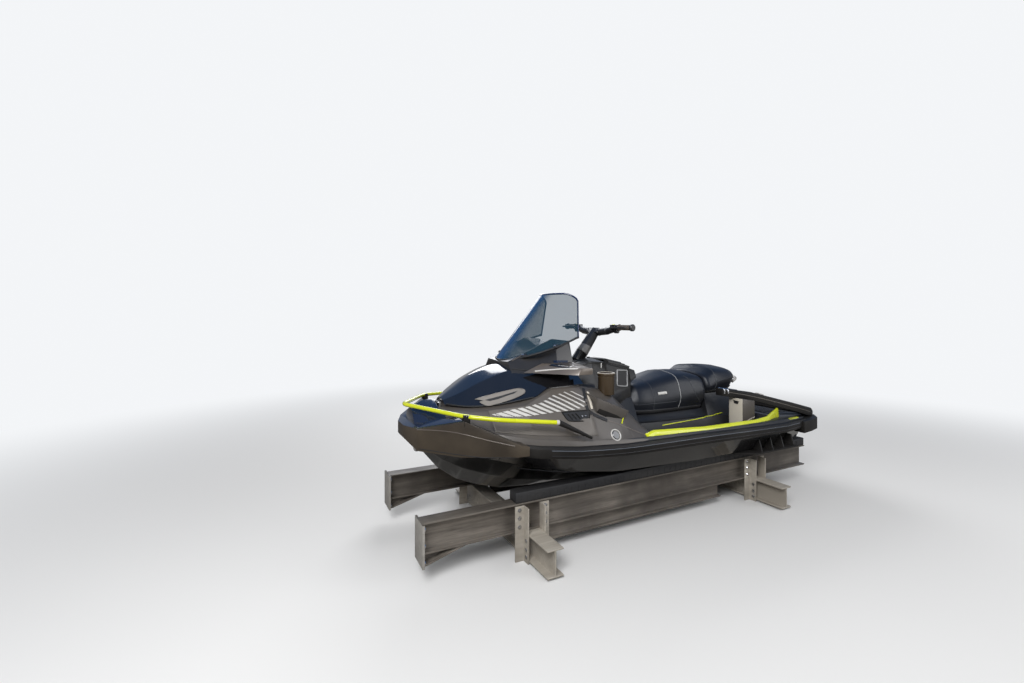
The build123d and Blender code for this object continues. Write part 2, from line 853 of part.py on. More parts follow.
def cowl_section(row):
    """Half section of the cowl, from the hood's crown out and back up to the groove."""
    under = hood_at(row.x)
    foot_y = under.mid_y + (under.edge_y - under.mid_y) * row.foot_share
    foot_z = under.mid_z + (under.edge_z - under.mid_z) * row.foot_share
    return [(0, under.centre_z), (under.mid_y, under.mid_z), (foot_y, foot_z),
            (row.peak_y, row.peak_z), (0, row.groove_z)]


with BuildPart() as cowl:
    loft([outline(across(row.x), mirrored(cowl_section(row))) for row in cowl_rows], ruled=True)
    add(hood_core.part, mode=Mode.SUBTRACT)
save(cowl.part, "cowl")


# Windshield
def shield_face(z, apex_x, edge_x, edge_y, inset=0):
    """Level section inside the windshield's sheet, an arc bowed forward and its chord."""
    fore = (apex_x - inset, 0)
    aft_x = edge_x - inset
    with BuildSketch(level(z)) as face:
        with BuildLine():
            ThreePointArc((aft_x, edge_y - inset), fore, (aft_x, inset - edge_y))
            Line((aft_x, inset - edge_y), (aft_x, edge_y - inset))
        make_face()
    return face.sketch


with BuildPart() as windshield:
    loft([shield_face(shield_foot_z, *shield_foot), shield_face(shield_top_z, *shield_top)])
    loft([shield_face(shield_foot_z, *shield_foot, shield_wall),
          shield_face(shield_top_z, *shield_top, shield_wall)], mode=Mode.SUBTRACT)
    with BuildSketch(across(shield_top[1] - shield_cut_start)):
        with BuildLine():
            FilletPolyline((-shield_cut_y, shield_foot_z - shield_cut_drop),
                           (shield_cut_y, shield_foot_z - shield_cut_drop),
                           (shield_top[2] + shield_top_spare, shield_top_z),
                           (-shield_top[2] - shield_top_spare, shield_top_z),
                           close=True, radius=shield_corner)
        make_face()
    extrude(amount=shield_cut_length, mode=Mode.INTERSECT)
    extrude(outline(beside(), shield_sill + [(shield_sill[-1][0], 0), (shield_sill[0][0], 0)]),
            amount=half_beam, both=True, mode=Mode.SUBTRACT)
    add(cowl.part, mode=Mode.SUBTRACT)
    add(hood.part, mode=Mode.SUBTRACT)
save(windshield.part, "windshield")


# Mirror wings and glasses
with BuildPart() as mirror_wings:
    for side in (1, -1):
        loft([outline(beside(side * wing_inner_y), wing_inner),
              outline(beside(side * wing_outer_y), wing_outer)], ruled=True)
    with Locations((wing_aft_x, 0, up(wing_outer[0][1]))):
        Box(100, 2 * half_beam, 200, align=(Align.MAX, Align.CENTER, Align.CENTER),
            mode=Mode.SUBTRACT)
    add(hood_core.part, mode=Mode.SUBTRACT)
    add(cowl.part, mode=Mode.SUBTRACT)
save(mirror_wings.part, "mirror_wings")

with BuildPart() as mirror_glasses:
    for side in (1, -1):
        with Locations(Location((mirror_centre[0] - mirror_wall / 2 - seat_gap,
                                 side * mirror_centre[1], up(mirror_centre[2])), (0, 90, 0))):
            Box(mirror_height, mirror_width, mirror_wall)
save(mirror_glasses.part, "mirror_glasses")


# Steering axis
rake = radians(column_rake)
column_axis = Vector(-sin(rake), 0, cos(rake))
column_foot_point = Vector(column_foot[0], 0, up(column_foot[1]))


def on_column(distance):
    """Plane square to the steering axis, at a distance up it from the column's foot."""
    return Plane(origin=column_foot_point + column_axis * distance, x_dir=(0, 1, 0),
                 z_dir=column_axis)


# Console, glove box lid and its hinge
def console_section(row):
    """Half section of the console over the front body."""
    return [(0, row.foot_z), (row.foot_y, row.foot_z), (row.foot_y, row.waist_z),
            (row.top_y, row.top_z), (0, row.ridge_z)]


glove_length = glove_fore_x - glove_aft_x
glove_centre_x = (glove_fore_x + glove_aft_x) / 2
glove_plane = Plane(origin=(glove_centre_x, 0, up(glove_mouth_z)), x_dir=(1, 0, glove_slope),
                    z_dir=(-glove_slope, 0, 1))
lid_lift = -lid_drop
lid_pin = glove_plane.from_local_coords((glove_length / 2 - lid_pin_inset, 0,
                                         lid_lift + lid_thickness / 2))
lid_hinge_place = Location((lid_pin.X, 0, lid_pin.Z), (90, 0, 0))
with BuildPart() as console:
    loft([outline(across(row.x), mirrored(console_section(row))) for row in console_rows],
         ruled=True)
    add(deck.part, mode=Mode.SUBTRACT)
    with BuildSketch(glove_plane) as well_mouth:
        Rectangle(glove_length, 2 * glove_half_width)
    extrude(well_mouth.sketch, amount=-glove_depth, mode=Mode.SUBTRACT)
    extrude(well_mouth.sketch, amount=glove_clearance, mode=Mode.SUBTRACT)
    for side in (1, -1):
        with Locations((lid_pin.X, side * (glove_half_width + lid_ear_width / 2),
                        lid_pin.Z + lid_pin_radius + lid_knuckle_wall)):
            Box(lid_ear_length, lid_ear_width, lid_ear_depth,
                align=(Align.CENTER, Align.CENTER, Align.MAX))
    with Locations(lid_hinge_place):
        Cylinder(lid_pin_radius, 2 * (glove_half_width + lid_ear_width))
    with BuildSketch(on_column(-neck_sink)) as neck:
        Circle(neck_radius)
    extrude(neck.sketch, amount=neck_sink + neck_rise)
    with BuildSketch(on_column(neck_rise)) as stem_bore:
        Circle(stem_radius + seat_gap)
    extrude(stem_bore.sketch, amount=-stem_depth, mode=Mode.SUBTRACT)
save(console.part, "console")

with BuildPart() as glovebox_lid:
    with BuildSketch(glove_plane.offset(lid_lift)) as lid_face:
        Rectangle(glove_length - 2 * run_gap, 2 * (glove_half_width - run_gap))
        fillet(lid_face.vertices(), radius=lid_corner)
    extrude(lid_face.sketch, amount=lid_thickness)
    with BuildSketch(glove_plane.offset(lid_lift + lid_thickness)) as lid_crown:
        Rectangle(glove_length - lid_crown_margins[0], 2 * glove_half_width - lid_crown_margins[1])
    extrude(lid_crown.sketch, amount=lid_crown_rise, taper=lid_crown_taper)
    with Locations(lid_hinge_place):
        Cylinder(lid_pin_radius + lid_knuckle_wall, lid_knuckle_length)
    with Locations(lid_hinge_place):
        Cylinder(lid_pin_radius + seat_gap, 2 * glove_half_width, mode=Mode.SUBTRACT)
save(glovebox_lid.part, "glovebox_lid")


# Steering column, handlebar, grips and levers
bar_height = neck_rise + run_gap + column_length - bar_below_top
bar_centre = on_column(bar_height).origin
bar_half = [(bar_centre.X - bar_sweep[0], bar_half_span, bar_centre.Z + bar_rise),
            (bar_centre.X - bar_sweep[1], bar_tip_y, bar_centre.Z + bar_rise),
            (bar_centre.X, bar_root_y, bar_centre.Z)]
bar_route = bar_half + [(x, -y, z) for x, y, z in reversed(bar_half)]

with BuildPart() as handlebar:
    with BuildLine() as bar_line:
        FilletPolyline(*bar_route, radius=bar_fillet)
    with BuildSketch(Plane(origin=bar_line.line @ 0, z_dir=bar_line.line % 0)):
        Circle(bar_radius)
    sweep()
save(handlebar.part, "handlebar")

with BuildPart() as steering_column:
    with BuildSketch(on_column(neck_rise + run_gap)) as column_low:
        RegularPolygon(column_foot_radius, 8)
    with BuildSketch(on_column(neck_rise + run_gap + column_length)) as column_high:
        RegularPolygon(column_radius, 8)
    loft([column_low.sketch, column_high.sketch], ruled=True)
    with BuildSketch(on_column(neck_rise - stem_depth + seat_gap)) as stem:
        Circle(stem_radius)
    extrude(stem.sketch, amount=stem_depth + run_gap - seat_gap)
    with BuildSketch(on_column(bar_height - clamp_size[2] / 2)) as clamp:
        RectangleRounded(clamp_size[1], clamp_size[0], 12)
    extrude(clamp.sketch, amount=clamp_size[2])
    add(handlebar.part, mode=Mode.SUBTRACT)
save(steering_column.part, "steering_column")

grip_way = Vector(*bar_half[0]) - Vector(*bar_half[1])
grip_start = Vector(*bar_half[0]) - grip_way.normalized() * grip_length
with BuildPart() as grips:
    for side in (1, -1):
        place = Plane(origin=(grip_start.X, side * grip_start.Y, grip_start.Z),
                      z_dir=(grip_way.X, side * grip_way.Y, grip_way.Z))
        with BuildSketch(place) as grip_face:
            Circle(grip_radius)
        extrude(grip_face.sketch, amount=grip_length + grip_end)
        with BuildSketch(place) as flange_face:
            Circle(grip_radius + grip_flange)
        extrude(flange_face.sketch, amount=grip_flange)
    add(handlebar.part, mode=Mode.SUBTRACT)
save(grips.part, "grips")

with BuildPart() as levers:
    for side in (1, -1):
        extrude(outline(Plane.XY.offset(bar_half[1][2] - lever_thickness / 2),
                        [(bar_half[1][0] + y, side * x) for x, y in lever_outline]),
                amount=lever_thickness)
        with Locations((bar_half[1][0] + lever_mount_place[0], side * lever_mount_place[1],
                        bar_half[1][2] + lever_mount_place[2])):
            Box(*lever_mount_size)
    add(handlebar.part, mode=Mode.SUBTRACT)
    add(grips.part, mode=Mode.SUBTRACT)
save(levers.part, "levers")


# Knee pods and filler caps
with BuildPart() as knee_pods:
    for side in (1, -1):
        extrude(outline(beside(side * pod_inner_y), pod_profile),
                amount=-side * (pod_outer_y - pod_inner_y), taper=pod_taper)
    add(deck.part, mode=Mode.SUBTRACT)
    add(console.part, mode=Mode.SUBTRACT)
save(knee_pods.part, "knee_pods")

with BuildPart() as filler_caps:
    for side in (1, -1):
        with Locations((cap_centre[0], side * cap_centre[1], up(cap_centre[2]))):
            Cylinder(cap_radius, cap_height, align=(Align.CENTER, Align.CENTER, Align.MIN))
        with Locations((cap_centre[0], side * cap_centre[1], up(cap_centre[2] + cap_height))):
            Cylinder(cap_radius + cap_lip, cap_rim, align=(Align.CENTER, Align.CENTER, Align.MAX))
            Cylinder(cap_radius - cap_lip, cap_dish, mode=Mode.SUBTRACT,
                     align=(Align.CENTER, Align.CENTER, Align.MAX))
    for piece in (deck, console, knee_pods):
        add(piece.part, mode=Mode.SUBTRACT)
save(filler_caps.part, "filler_caps")


# Seats
def seat_section(row):
    """Half section of a seat, flat below and crowned above."""
    return [(0, row.foot_z), (row.foot_y, row.foot_z), (row.side_y, row.side_z),
            (row.top_y, row.top_z), (0, row.crown_z)]


for name, rows in (("seat_front", front_seat_rows), ("seat_rear", rear_seat_rows)):
    with BuildPart() as seat:
        loft([outline(across(row.x), mirrored(seat_section(row))) for row in rows], ruled=True)
    save(seat.part, name)

with BuildPart() as grab_handle:
    with BuildLine() as handle_line:
        FilletPolyline(*[(x, y, up(z)) for x, y, z in handle_route], radius=handle_fillet)
    with BuildSketch(Plane(origin=handle_line.line @ 0, z_dir=handle_line.line % 0)):
        Circle(handle_radius)
    sweep()
    add(seat.part, mode=Mode.SUBTRACT)
    add(deck.part, mode=Mode.SUBTRACT)
save(grab_handle.part, "grab_handle")


# Rear rails, boxes and mats
def rack_section(row, side):
    """Section of a rear side rail."""
    return [(side * y, z) for y, z in [
        (row.inner_y, row.low_z), (row.outer_y, row.low_z), (row.outer_y, row.high_z - rack_bevel),
        (row.outer_y - rack_bevel, row.high_z), (row.inner_y + rack_bevel, row.high_z),
        (row.inner_y, row.high_z - rack_bevel)]]


rack_end = rack_rows[-1]
with BuildPart() as rear_rack:
    for side in (1, -1):
        loft([outline(across(row.x), rack_section(row, side)) for row in rack_rows], ruled=True)
    with Locations((rack_end.x + rack_cross_width / 2, 0,
                    up((rack_end.low_z + rack_end.high_z) / 2))):
        Box(rack_cross_width, 2 * (rack_end.inner_y + rack_cross_lap),
            rack_end.high_z - rack_end.low_z)
save(rear_rack.part, "rear_rack")


def rack_low_at(x):
    """Height of the rails' underside at x, straight between their stations."""
    for fore, aft in zip(rack_rows, rack_rows[1:]):
        if x >= aft.x:
            return fore.low_z + (aft.low_z - fore.low_z) * (x - fore.x) / (aft.x - fore.x)
    return rack_rows[-1].low_z


box_side = [(box_fore_x, well_floor_z), (box_fore_x, rack_low_at(box_fore_x)),
            (box_aft_x, rack_low_at(box_aft_x)), (box_aft_x, well_floor_z)]
with BuildPart() as stern_boxes:
    for side in (1, -1):
        extrude(outline(beside(side * box_inner_y), box_side),
                amount=-side * (box_outer_y - box_inner_y))
    add(deck.part, mode=Mode.SUBTRACT)
save(stern_boxes.part, "stern_boxes")

platform_plane = Plane(origin=(transom.x, 0, up(gunwale_heights[0])),
                       x_dir=(1, 0, platform_rise), z_dir=(-platform_rise, 0, 1))
with BuildPart() as deck_mats:
    for side in (1, -1):
        with BuildSketch(level(well_floor_z)) as mat_face:
            with BuildLine():
                Polyline(*[(x, side * y) for x, y in well_floor], close=True)
            make_face()
            offset(amount=-mat_margin)
        extrude(mat_face.sketch, amount=mat_thickness)
    extrude(outline(platform_plane, round_plan([(x - transom.x, y) for x, y in platform_mat])),
            amount=mat_thickness)
    add(stern_boxes.part, mode=Mode.SUBTRACT)
save(deck_mats.part, "deck_mats")


# Sponsons on the hull's sides
with BuildPart() as sponsons:
    rib_step = (sponson_fore_x - sponson_aft_x) / (sponson_rib_count + 1)
    for side in (1, -1):
        fin = [(sponson_aft_x, sponson_inner_y), (sponson_aft_x, sponson_outer_y),
               (sponson_fore_x - sponson_nose[0], sponson_outer_y),
               (sponson_fore_x, sponson_inner_y + sponson_nose[1]),
               (sponson_fore_x, sponson_inner_y)]
        extrude(outline(level(sponson_low_z), [(x, side * y) for x, y in fin]),
                amount=sponson_wall)
        for rib in range(sponson_rib_count):
            rib_x = sponson_aft_x + sponson_rib_start + rib * rib_step
            gusset = [(side * y, z) for y, z in [
                (sponson_inner_y, sponson_low_z),
                (sponson_outer_y - sponson_rib_inset, sponson_low_z),
                (sponson_inner_y + sponson_rib_top, sponson_low_z + sponson_rib_height),
                (sponson_inner_y, sponson_low_z + sponson_rib_height)]]
            extrude(outline(across(rib_x), gusset), amount=sponson_rib_width)
    add(hull.part, mode=Mode.SUBTRACT)
    add(rub_rails.part, mode=Mode.SUBTRACT)
save(sponsons.part, "sponsons")


# Jet pump: housing with its stator, shaft and impeller
def along(x, z=pump_z):
    """Upright plane square to the pump's axis at x, facing aft."""
    return Plane(origin=(x, 0, up(z)), x_dir=(0, 1, 0), z_dir=(-1, 0, 0))


pump_outer = pump_bore + pump_wall
with BuildPart() as pump_housing:
    with BuildSketch(Plane(origin=(0, 0, up(pump_z)), x_dir=(1, 0, 0), z_dir=(0, -1, 0))):
        with BuildLine():
            Polyline((housing_fore_x, pump_bore), (housing_fore_x, pump_outer + pump_flange),
                     (housing_fore_x - pump_flange, pump_outer + pump_flange),
                     (housing_fore_x - pump_flange, pump_outer), (stator_aft_x, pump_outer),
                     (throat_x + throat_length, throat_radius + throat_wall),
                     (throat_x, throat_radius + throat_wall), (throat_x, throat_radius),
                     (throat_x + throat_length, throat_radius), (stator_aft_x, pump_bore),
                     close=True)
        make_face()
    revolve(axis=Axis((0, 0, up(pump_z)), (1, 0, 0)))
    with BuildSketch(along(stator_fore_x)) as stator_hub:
        Circle(hub_radius)
    extrude(stator_hub.sketch, amount=stator_fore_x - stator_aft_x)
    with BuildSketch(along(stator_aft_x)) as cone_base:
        Circle(hub_radius)
    extrude(cone_base.sketch, amount=hub_cone_length, taper=hub_cone_taper)
    with BuildSketch(along(stator_fore_x)) as vanes:
        with PolarLocations((hub_radius + pump_bore) / 2, vane_count):
            Rectangle(pump_bore - hub_radius + vane_lap, vane_thickness)
    extrude(vanes.sketch, amount=stator_fore_x - stator_aft_x)
    for side in (1, -1):
        with Locations((nozzle_pivot_x, 0,
                        up(pump_z + side * (nozzle_socket_radius + pivot_pin_offset)))):
            Cylinder(pivot_pin_radius, pivot_pin_length)
        with Locations(((cheek_arm_fore_x + cheek_arm_aft_x) / 2, side * cheek_arm_y,
                        up(bucket_pivot_z))):
            Box(cheek_arm_fore_x - cheek_arm_aft_x, cheek_arm_width, cheek_arm_height)
        with Locations(Location((nozzle_pivot_x, side * (cheek_arm_y + cheek_pin_offset),
                                 up(bucket_pivot_z)), (90, 0, 0))):
            Cylinder(pivot_pin_radius, cheek_pin_length)
        with Locations((throat_x - strap_set_back, 0, up(pump_z + side * strap_radius))):
            Box(strap_length, strap_width, strap_thickness)
        with Locations((throat_x + strap_length / 2 - strap_leg_inset, 0,
                        up(pump_z + side * (strap_radius + strap_leg_foot) / 2))):
            Box(strap_leg_length, strap_width, strap_radius - strap_leg_foot)
save(pump_housing.part, "pump_housing")

shaft_fore_x = engine_centre_x - engine_length / 2 - seat_gap
with BuildPart() as drive_shaft:
    with BuildSketch(along(shaft_fore_x)) as shaft_face:
        Circle(shaft_radius)
    extrude(shaft_face.sketch,
            amount=shaft_fore_x - impeller_x + impeller_length / 2 + shaft_end)
save(drive_shaft.part, "drive_shaft")

with BuildPart() as impeller:
    with BuildSketch(along(impeller_x + impeller_length / 2)) as hub:
        Circle(hub_radius - hub_play)
    extrude(hub.sketch, amount=impeller_length)
    for blade in range(blade_count):
        with BuildSketch(along(impeller_x + impeller_length / 2 - blade_inset)) as blade_face:
            with PolarLocations((hub_radius + impeller_radius) / 2, 1,
                                start_angle=360 * blade / blade_count):
                Rectangle(impeller_radius - hub_radius + blade_lap, blade_thickness)
        add(Solid.extrude_linear_with_rotation(blade_face.sketch.face(), (0, 0, up(pump_z)),
                                               (2 * blade_inset - impeller_length, 0, 0),
                                               blade_pitch))
    with BuildSketch(along(impeller_x + impeller_length / 2)) as disc:
        Circle(impeller_radius)
    extrude(disc.sketch, amount=impeller_length, mode=Mode.INTERSECT)
    add(drive_shaft.part, mode=Mode.SUBTRACT)
save(impeller.part, "impeller")


# Steering nozzle on its two pins
def ring_profile(rows):
    """Closed profile above the pump's axis of a ring, from rows of x, inner and outer radius."""
    return [(x, inner) for x, inner, outer in rows] + [(x, outer) for x, inner, outer in rows[::-1]]


nozzle_rows = [
    (nozzle_fore_x, nozzle_socket_radius - nozzle_wall, nozzle_socket_radius),
    (nozzle_pivot_x - nozzle_skirt, nozzle_socket_radius - nozzle_wall, nozzle_socket_radius),
    (nozzle_exit_x, nozzle_exit_radius, nozzle_exit_radius + nozzle_wall),
]
axis_plane = Plane(origin=(0, 0, up(pump_z)), x_dir=(1, 0, 0), z_dir=(0, -1, 0))
with BuildPart() as steering_nozzle:
    nozzle_profile = outline(axis_plane, ring_profile(nozzle_rows))
    revolve(nozzle_profile, axis=Axis((0, 0, up(pump_z)), (1, 0, 0)))
    for side in (1, -1):
        with Locations((nozzle_pivot_x, 0, up(pump_z + side * nozzle_socket_radius))):
            Cylinder(pivot_pin_radius + nozzle_boss[0], nozzle_boss[1])
        with Locations((nozzle_pivot_x, 0, up(pump_z + side * nozzle_socket_radius))):
            Cylinder(pivot_pin_radius + seat_gap, nozzle_bore_length, mode=Mode.SUBTRACT)
save(steering_nozzle.part, "steering_nozzle")

# Reverse bucket on the pump housing's side pins
bucket_plane = Plane(origin=(0, bucket_inner_y + bucket_wall, up(bucket_pivot_z)),
                     x_dir=(1, 0, 0), z_dir=(0, -1, 0))


def bucket_arc(radius, start, end):
    """Points at the ends and the middle of an arc round the bucket's pivot."""
    return [(nozzle_pivot_x + radius * cos(radians(angle)), radius * sin(radians(angle)))
            for angle in (start, (start + end) / 2, end)]


with BuildPart() as reverse_bucket:
    with BuildSketch(bucket_plane) as scoop:
        with BuildLine():
            ThreePointArc(*bucket_arc(bucket_radius, bucket_fore_angle, bucket_aft_angle))
            ThreePointArc(*bucket_arc(bucket_radius - bucket_wall, bucket_fore_angle,
                                      bucket_aft_angle))
            for end in (0, 2):
                Line(bucket_arc(bucket_radius, bucket_fore_angle, bucket_aft_angle)[end],
                     bucket_arc(bucket_radius - bucket_wall, bucket_fore_angle,
                                bucket_aft_angle)[end])
        make_face()
    extrude(scoop.sketch, amount=2 * (bucket_inner_y + bucket_wall))
    for y in (bucket_inner_y + bucket_wall, -bucket_inner_y):
        with BuildSketch(Plane(origin=(0, y, up(bucket_pivot_z)), x_dir=(1, 0, 0),
                               z_dir=(0, -1, 0))) as cheek:
            with BuildLine():
                arc = bucket_arc(bucket_radius, bucket_fore_angle, bucket_aft_angle)
                ThreePointArc(*arc)
                Polyline(arc[2], (nozzle_pivot_x - bucket_ear[0], -bucket_ear[1]),
                         (nozzle_pivot_x + bucket_ear[0], -bucket_ear[1]), arc[0])
            make_face()
        extrude(cheek.sketch, amount=bucket_wall)
    with Locations(Location((nozzle_pivot_x, 0, up(bucket_pivot_z)), (90, 0, 0))):
        Cylinder(pivot_pin_radius + seat_gap, 4 * bucket_inner_y, mode=Mode.SUBTRACT)
save(reverse_bucket.part, "reverse_bucket")

# Intake grate and ride plate
with BuildPart() as intake_grate:
    for bar in range(grate_bar_count):
        bar_y = (bar - (grate_bar_count - 1) / 2) * grate_pitch
        with BuildSketch(beside(bar_y + grate_bar / 2)) as bar_face:
            with BuildLine():
                Polyline((grate_fore_x, grate_z), (grate_aft_x, grate_z),
                         (grate_aft_x, grate_z + grate_bar_height),
                         (grate_fore_x, grate_z + grate_bar_height), close=True)
            make_face()
        extrude(bar_face.sketch, amount=grate_bar)
    for x in (grate_aft_x, grate_fore_x - grate_end_size[0]):
        with Locations((x, 0, up(grate_z))):
            Box(grate_end_size[0], 2 * pump_bore, grate_end_size[1],
                align=(Align.MIN, Align.CENTER, Align.MIN))
    add(hull.part, mode=Mode.SUBTRACT)
save(intake_grate.part, "intake_grate")

with BuildPart() as ride_plate:
    with Locations(((tunnel_fore_x + plate_aft_x) / 2, 0, up(plate_z))):
        Box(tunnel_fore_x - plate_aft_x, 2 * tunnel_half_width, plate_thickness,
            align=(Align.CENTER, Align.CENTER, Align.MIN))
    add(hull.part, mode=Mode.SUBTRACT)
save(ride_plate.part, "ride_plate")

# Boarding ladder on two brackets
lean = radians(ladder_lean)
ladder_top = (ladder_pivot_x - ladder_reach * sin(lean), ladder_pivot_z + ladder_reach * cos(lean))
with BuildPart() as ladder:
    with BuildLine() as ladder_line:
        FilletPolyline((ladder_pivot_x, ladder_half_width, up(ladder_pivot_z)),
                       (ladder_top[0], ladder_half_width, up(ladder_top[1])),
                       (ladder_top[0], -ladder_half_width, up(ladder_top[1])),
                       (ladder_pivot_x, -ladder_half_width, up(ladder_pivot_z)),
                       radius=ladder_fillet)
    with BuildSketch(Plane(origin=ladder_line.line @ 0, z_dir=ladder_line.line % 0)):
        Circle(ladder_radius)
    sweep()
    for side in (1, -1):
        with Locations(Location((ladder_pivot_x, side * ladder_half_width, up(ladder_pivot_z)),
                                (90, 0, 0))):
            Cylinder(ladder_radius + ladder_eye[0], ladder_eye[1])
            Cylinder(pivot_pin_radius + seat_gap, 2 * ladder_pin_length, mode=Mode.SUBTRACT)
save(ladder.part, "ladder")

with BuildPart() as ladder_brackets:
    for side in (1, -1):
        for y in (-ladder_ear_offset, ladder_ear_offset):
            with BuildSketch(beside(side * ladder_half_width + y + ladder_ear_width / 2)) as ear:
                with BuildLine():
                    Polyline((transom.x, ladder_pivot_z - ladder_foot_drop),
                             (transom.x, ladder_pivot_z + ladder_foot_rise),
                             (ladder_pivot_x - ladder_ear_reach[0],
                              ladder_pivot_z + ladder_ear_reach[1]),
                             (ladder_pivot_x - ladder_ear_reach[1], ladder_pivot_z),
                             (ladder_pivot_x - ladder_ear_reach[0],
                              ladder_pivot_z - ladder_ear_reach[1]), close=True)
                make_face()
            extrude(ear.sketch, amount=ladder_ear_width)
        with Locations(Location((ladder_pivot_x, side * ladder_half_width, up(ladder_pivot_z)),
                                (90, 0, 0))):
            Cylinder(pivot_pin_radius, ladder_pin_length)
save(ladder_brackets.part, "ladder_brackets")

# Tow eyes at the bow and the stern
with BuildPart() as tow_eyes:
    for x, y, z in tow_eye_places:
        with Locations(Location((x, y, up(z)), (90, 0, 0))):
            Cylinder(eye_radius, eye_width)
            Cylinder(eye_bore, eye_width, mode=Mode.SUBTRACT)
    add(hull.part, mode=Mode.SUBTRACT)
save(tow_eyes.part, "tow_eyes")


# Cradle arms with their stiffeners and haunches
arm_low = arm_top - arm_depth


def i_section(width, depth, flange, web):
    """Points of an I section about its own centre."""
    half_w, half_d, half_web = width / 2, depth / 2, web / 2
    quarter = [(half_w, half_d), (half_w, half_d - flange), (half_web, half_d - flange)]
    right = quarter + [(y, -z) for y, z in reversed(quarter)]
    return right + [(-y, z) for y, z in reversed(right)]


for name, side in (("cradle_arm_port", 1), ("cradle_arm_starboard", -1)):
    with BuildPart() as cradle_arm:
        centre = (arm_aft_x, side * arm_spacing, up(arm_top - arm_depth / 2))
        extrude(outline(Plane(origin=centre, x_dir=(0, 1, 0), z_dir=(1, 0, 0)),
                        i_section(arm_width, arm_depth, arm_flange, arm_web)),
                amount=arm_fore_x - arm_aft_x)
        haunch_top = arm_low + haunch_lap
        haunch_low = arm_low - haunch_drop
        haunch = [(arm_fore_x, haunch_top), (arm_fore_x, haunch_low),
                  (arm_fore_x - haunch_foot, haunch_low), (arm_fore_x - haunch_length, haunch_top)]
        extrude(outline(beside(side * arm_spacing), haunch), amount=arm_web / 2, both=True)
        sole_low = haunch[1:]
        sole = sole_low + [(x, z + arm_flange) for x, z in reversed(sole_low)]
        extrude(outline(beside(side * arm_spacing), sole), amount=arm_width / 2, both=True)
        low_centre = (stiffener_aft_x, side * arm_spacing, up(arm_low - stiffener_depth / 2))
        extrude(outline(Plane(origin=low_centre, x_dir=(0, 1, 0), z_dir=(1, 0, 0)),
                        i_section(stiffener_width, stiffener_depth, arm_flange, arm_web)),
                amount=beam_xs["front"] - beam_width / 2 - bracket_leg - stiffener_aft_x)
        with Locations((arm_fore_x, side * arm_spacing, up(haunch_low))):
            Box(end_plate_thickness, arm_width + end_plate_margin, arm_depth + haunch_drop,
                align=(Align.MAX, Align.CENTER, Align.MIN))
    save(cradle_arm.part, name)

# Bunk covers on the arms, trimmed to the hull's own bottom
with BuildPart() as bunk_covers:
    for side in (1, -1):
        with Locations(((arm_aft_x + bunk_fore_x) / 2, side * arm_spacing, up(arm_top))):
            Box(bunk_fore_x - arm_aft_x, bunk_width, bunk_height,
                align=(Align.CENTER, Align.CENTER, Align.MIN))
    add(hull.part, mode=Mode.SUBTRACT)
    add(sponsons.part, mode=Mode.SUBTRACT)
save(bunk_covers.part, "bunk_covers")

# Cross beams and the angle brackets that hang them from the arms
for name, x in beam_xs.items():
    with BuildPart() as cross_beam:
        centre = (x, -beam_half_length, up(arm_low - beam_depth / 2))
        extrude(outline(Plane(origin=centre, x_dir=(1, 0, 0), z_dir=(0, 1, 0)),
                        i_section(beam_width, beam_depth, beam_flange, beam_web)),
                amount=2 * beam_half_length)
    save(cross_beam.part, f"cross_beam_{name}")

with BuildPart() as beam_brackets:
    for x in beam_xs.values():
        for side in (1, -1):
            for end in (1, -1):
                corner = (x + end * beam_width / 2, side * (arm_spacing + arm_width / 2))
                leg = [(0, 0), (bracket_leg, 0), (bracket_leg, bracket_thickness),
                       (bracket_thickness, bracket_thickness), (bracket_thickness, bracket_leg),
                       (0, bracket_leg)]
                low = arm_low - beam_depth - bracket_below
                extrude(outline(level(low), [(corner[0] + end * u, corner[1] + side * v)
                                             for u, v in leg]),
                        amount=arm_top - bracket_top_drop - low)
save(beam_brackets.part, "beam_brackets")
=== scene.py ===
"""Looks of a three-seat personal watercraft that stands on its lift cradle.

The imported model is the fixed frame. Each sub-assembly is a class that holds its own sizes,
builds its meshes in metres in the frame's axes, and gives every piece its finish and its body.
"""

import json
import logging
import math
from dataclasses import dataclass, field, replace
from enum import Enum
from typing import Callable, Iterable, Mapping, Sequence

import bmesh
import bpy
import numpy as np
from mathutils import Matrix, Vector
from mathutils.bvhtree import BVHTree

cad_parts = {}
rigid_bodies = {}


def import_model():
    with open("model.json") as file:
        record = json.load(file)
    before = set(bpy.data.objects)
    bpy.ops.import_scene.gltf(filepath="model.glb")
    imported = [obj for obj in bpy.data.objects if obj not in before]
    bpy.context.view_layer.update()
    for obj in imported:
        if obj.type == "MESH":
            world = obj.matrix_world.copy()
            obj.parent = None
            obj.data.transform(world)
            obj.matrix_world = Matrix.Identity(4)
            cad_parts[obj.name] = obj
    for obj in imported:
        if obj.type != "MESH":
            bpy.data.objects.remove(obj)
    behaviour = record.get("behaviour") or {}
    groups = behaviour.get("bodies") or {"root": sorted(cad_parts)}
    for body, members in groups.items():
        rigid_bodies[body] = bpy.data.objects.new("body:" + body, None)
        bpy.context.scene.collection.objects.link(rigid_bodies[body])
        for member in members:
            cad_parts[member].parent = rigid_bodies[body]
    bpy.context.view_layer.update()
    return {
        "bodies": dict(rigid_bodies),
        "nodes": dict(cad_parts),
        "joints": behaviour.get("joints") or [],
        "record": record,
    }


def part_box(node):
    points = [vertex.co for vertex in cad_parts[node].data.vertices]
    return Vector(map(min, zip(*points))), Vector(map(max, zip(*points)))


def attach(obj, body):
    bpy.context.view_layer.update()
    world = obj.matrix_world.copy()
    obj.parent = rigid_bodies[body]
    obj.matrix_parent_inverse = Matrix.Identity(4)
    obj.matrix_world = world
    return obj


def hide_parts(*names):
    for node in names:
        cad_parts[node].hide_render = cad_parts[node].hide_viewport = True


logging.basicConfig(level=logging.INFO, format="%(name)s: %(message)s")
LOG = logging.getLogger("watercraft")

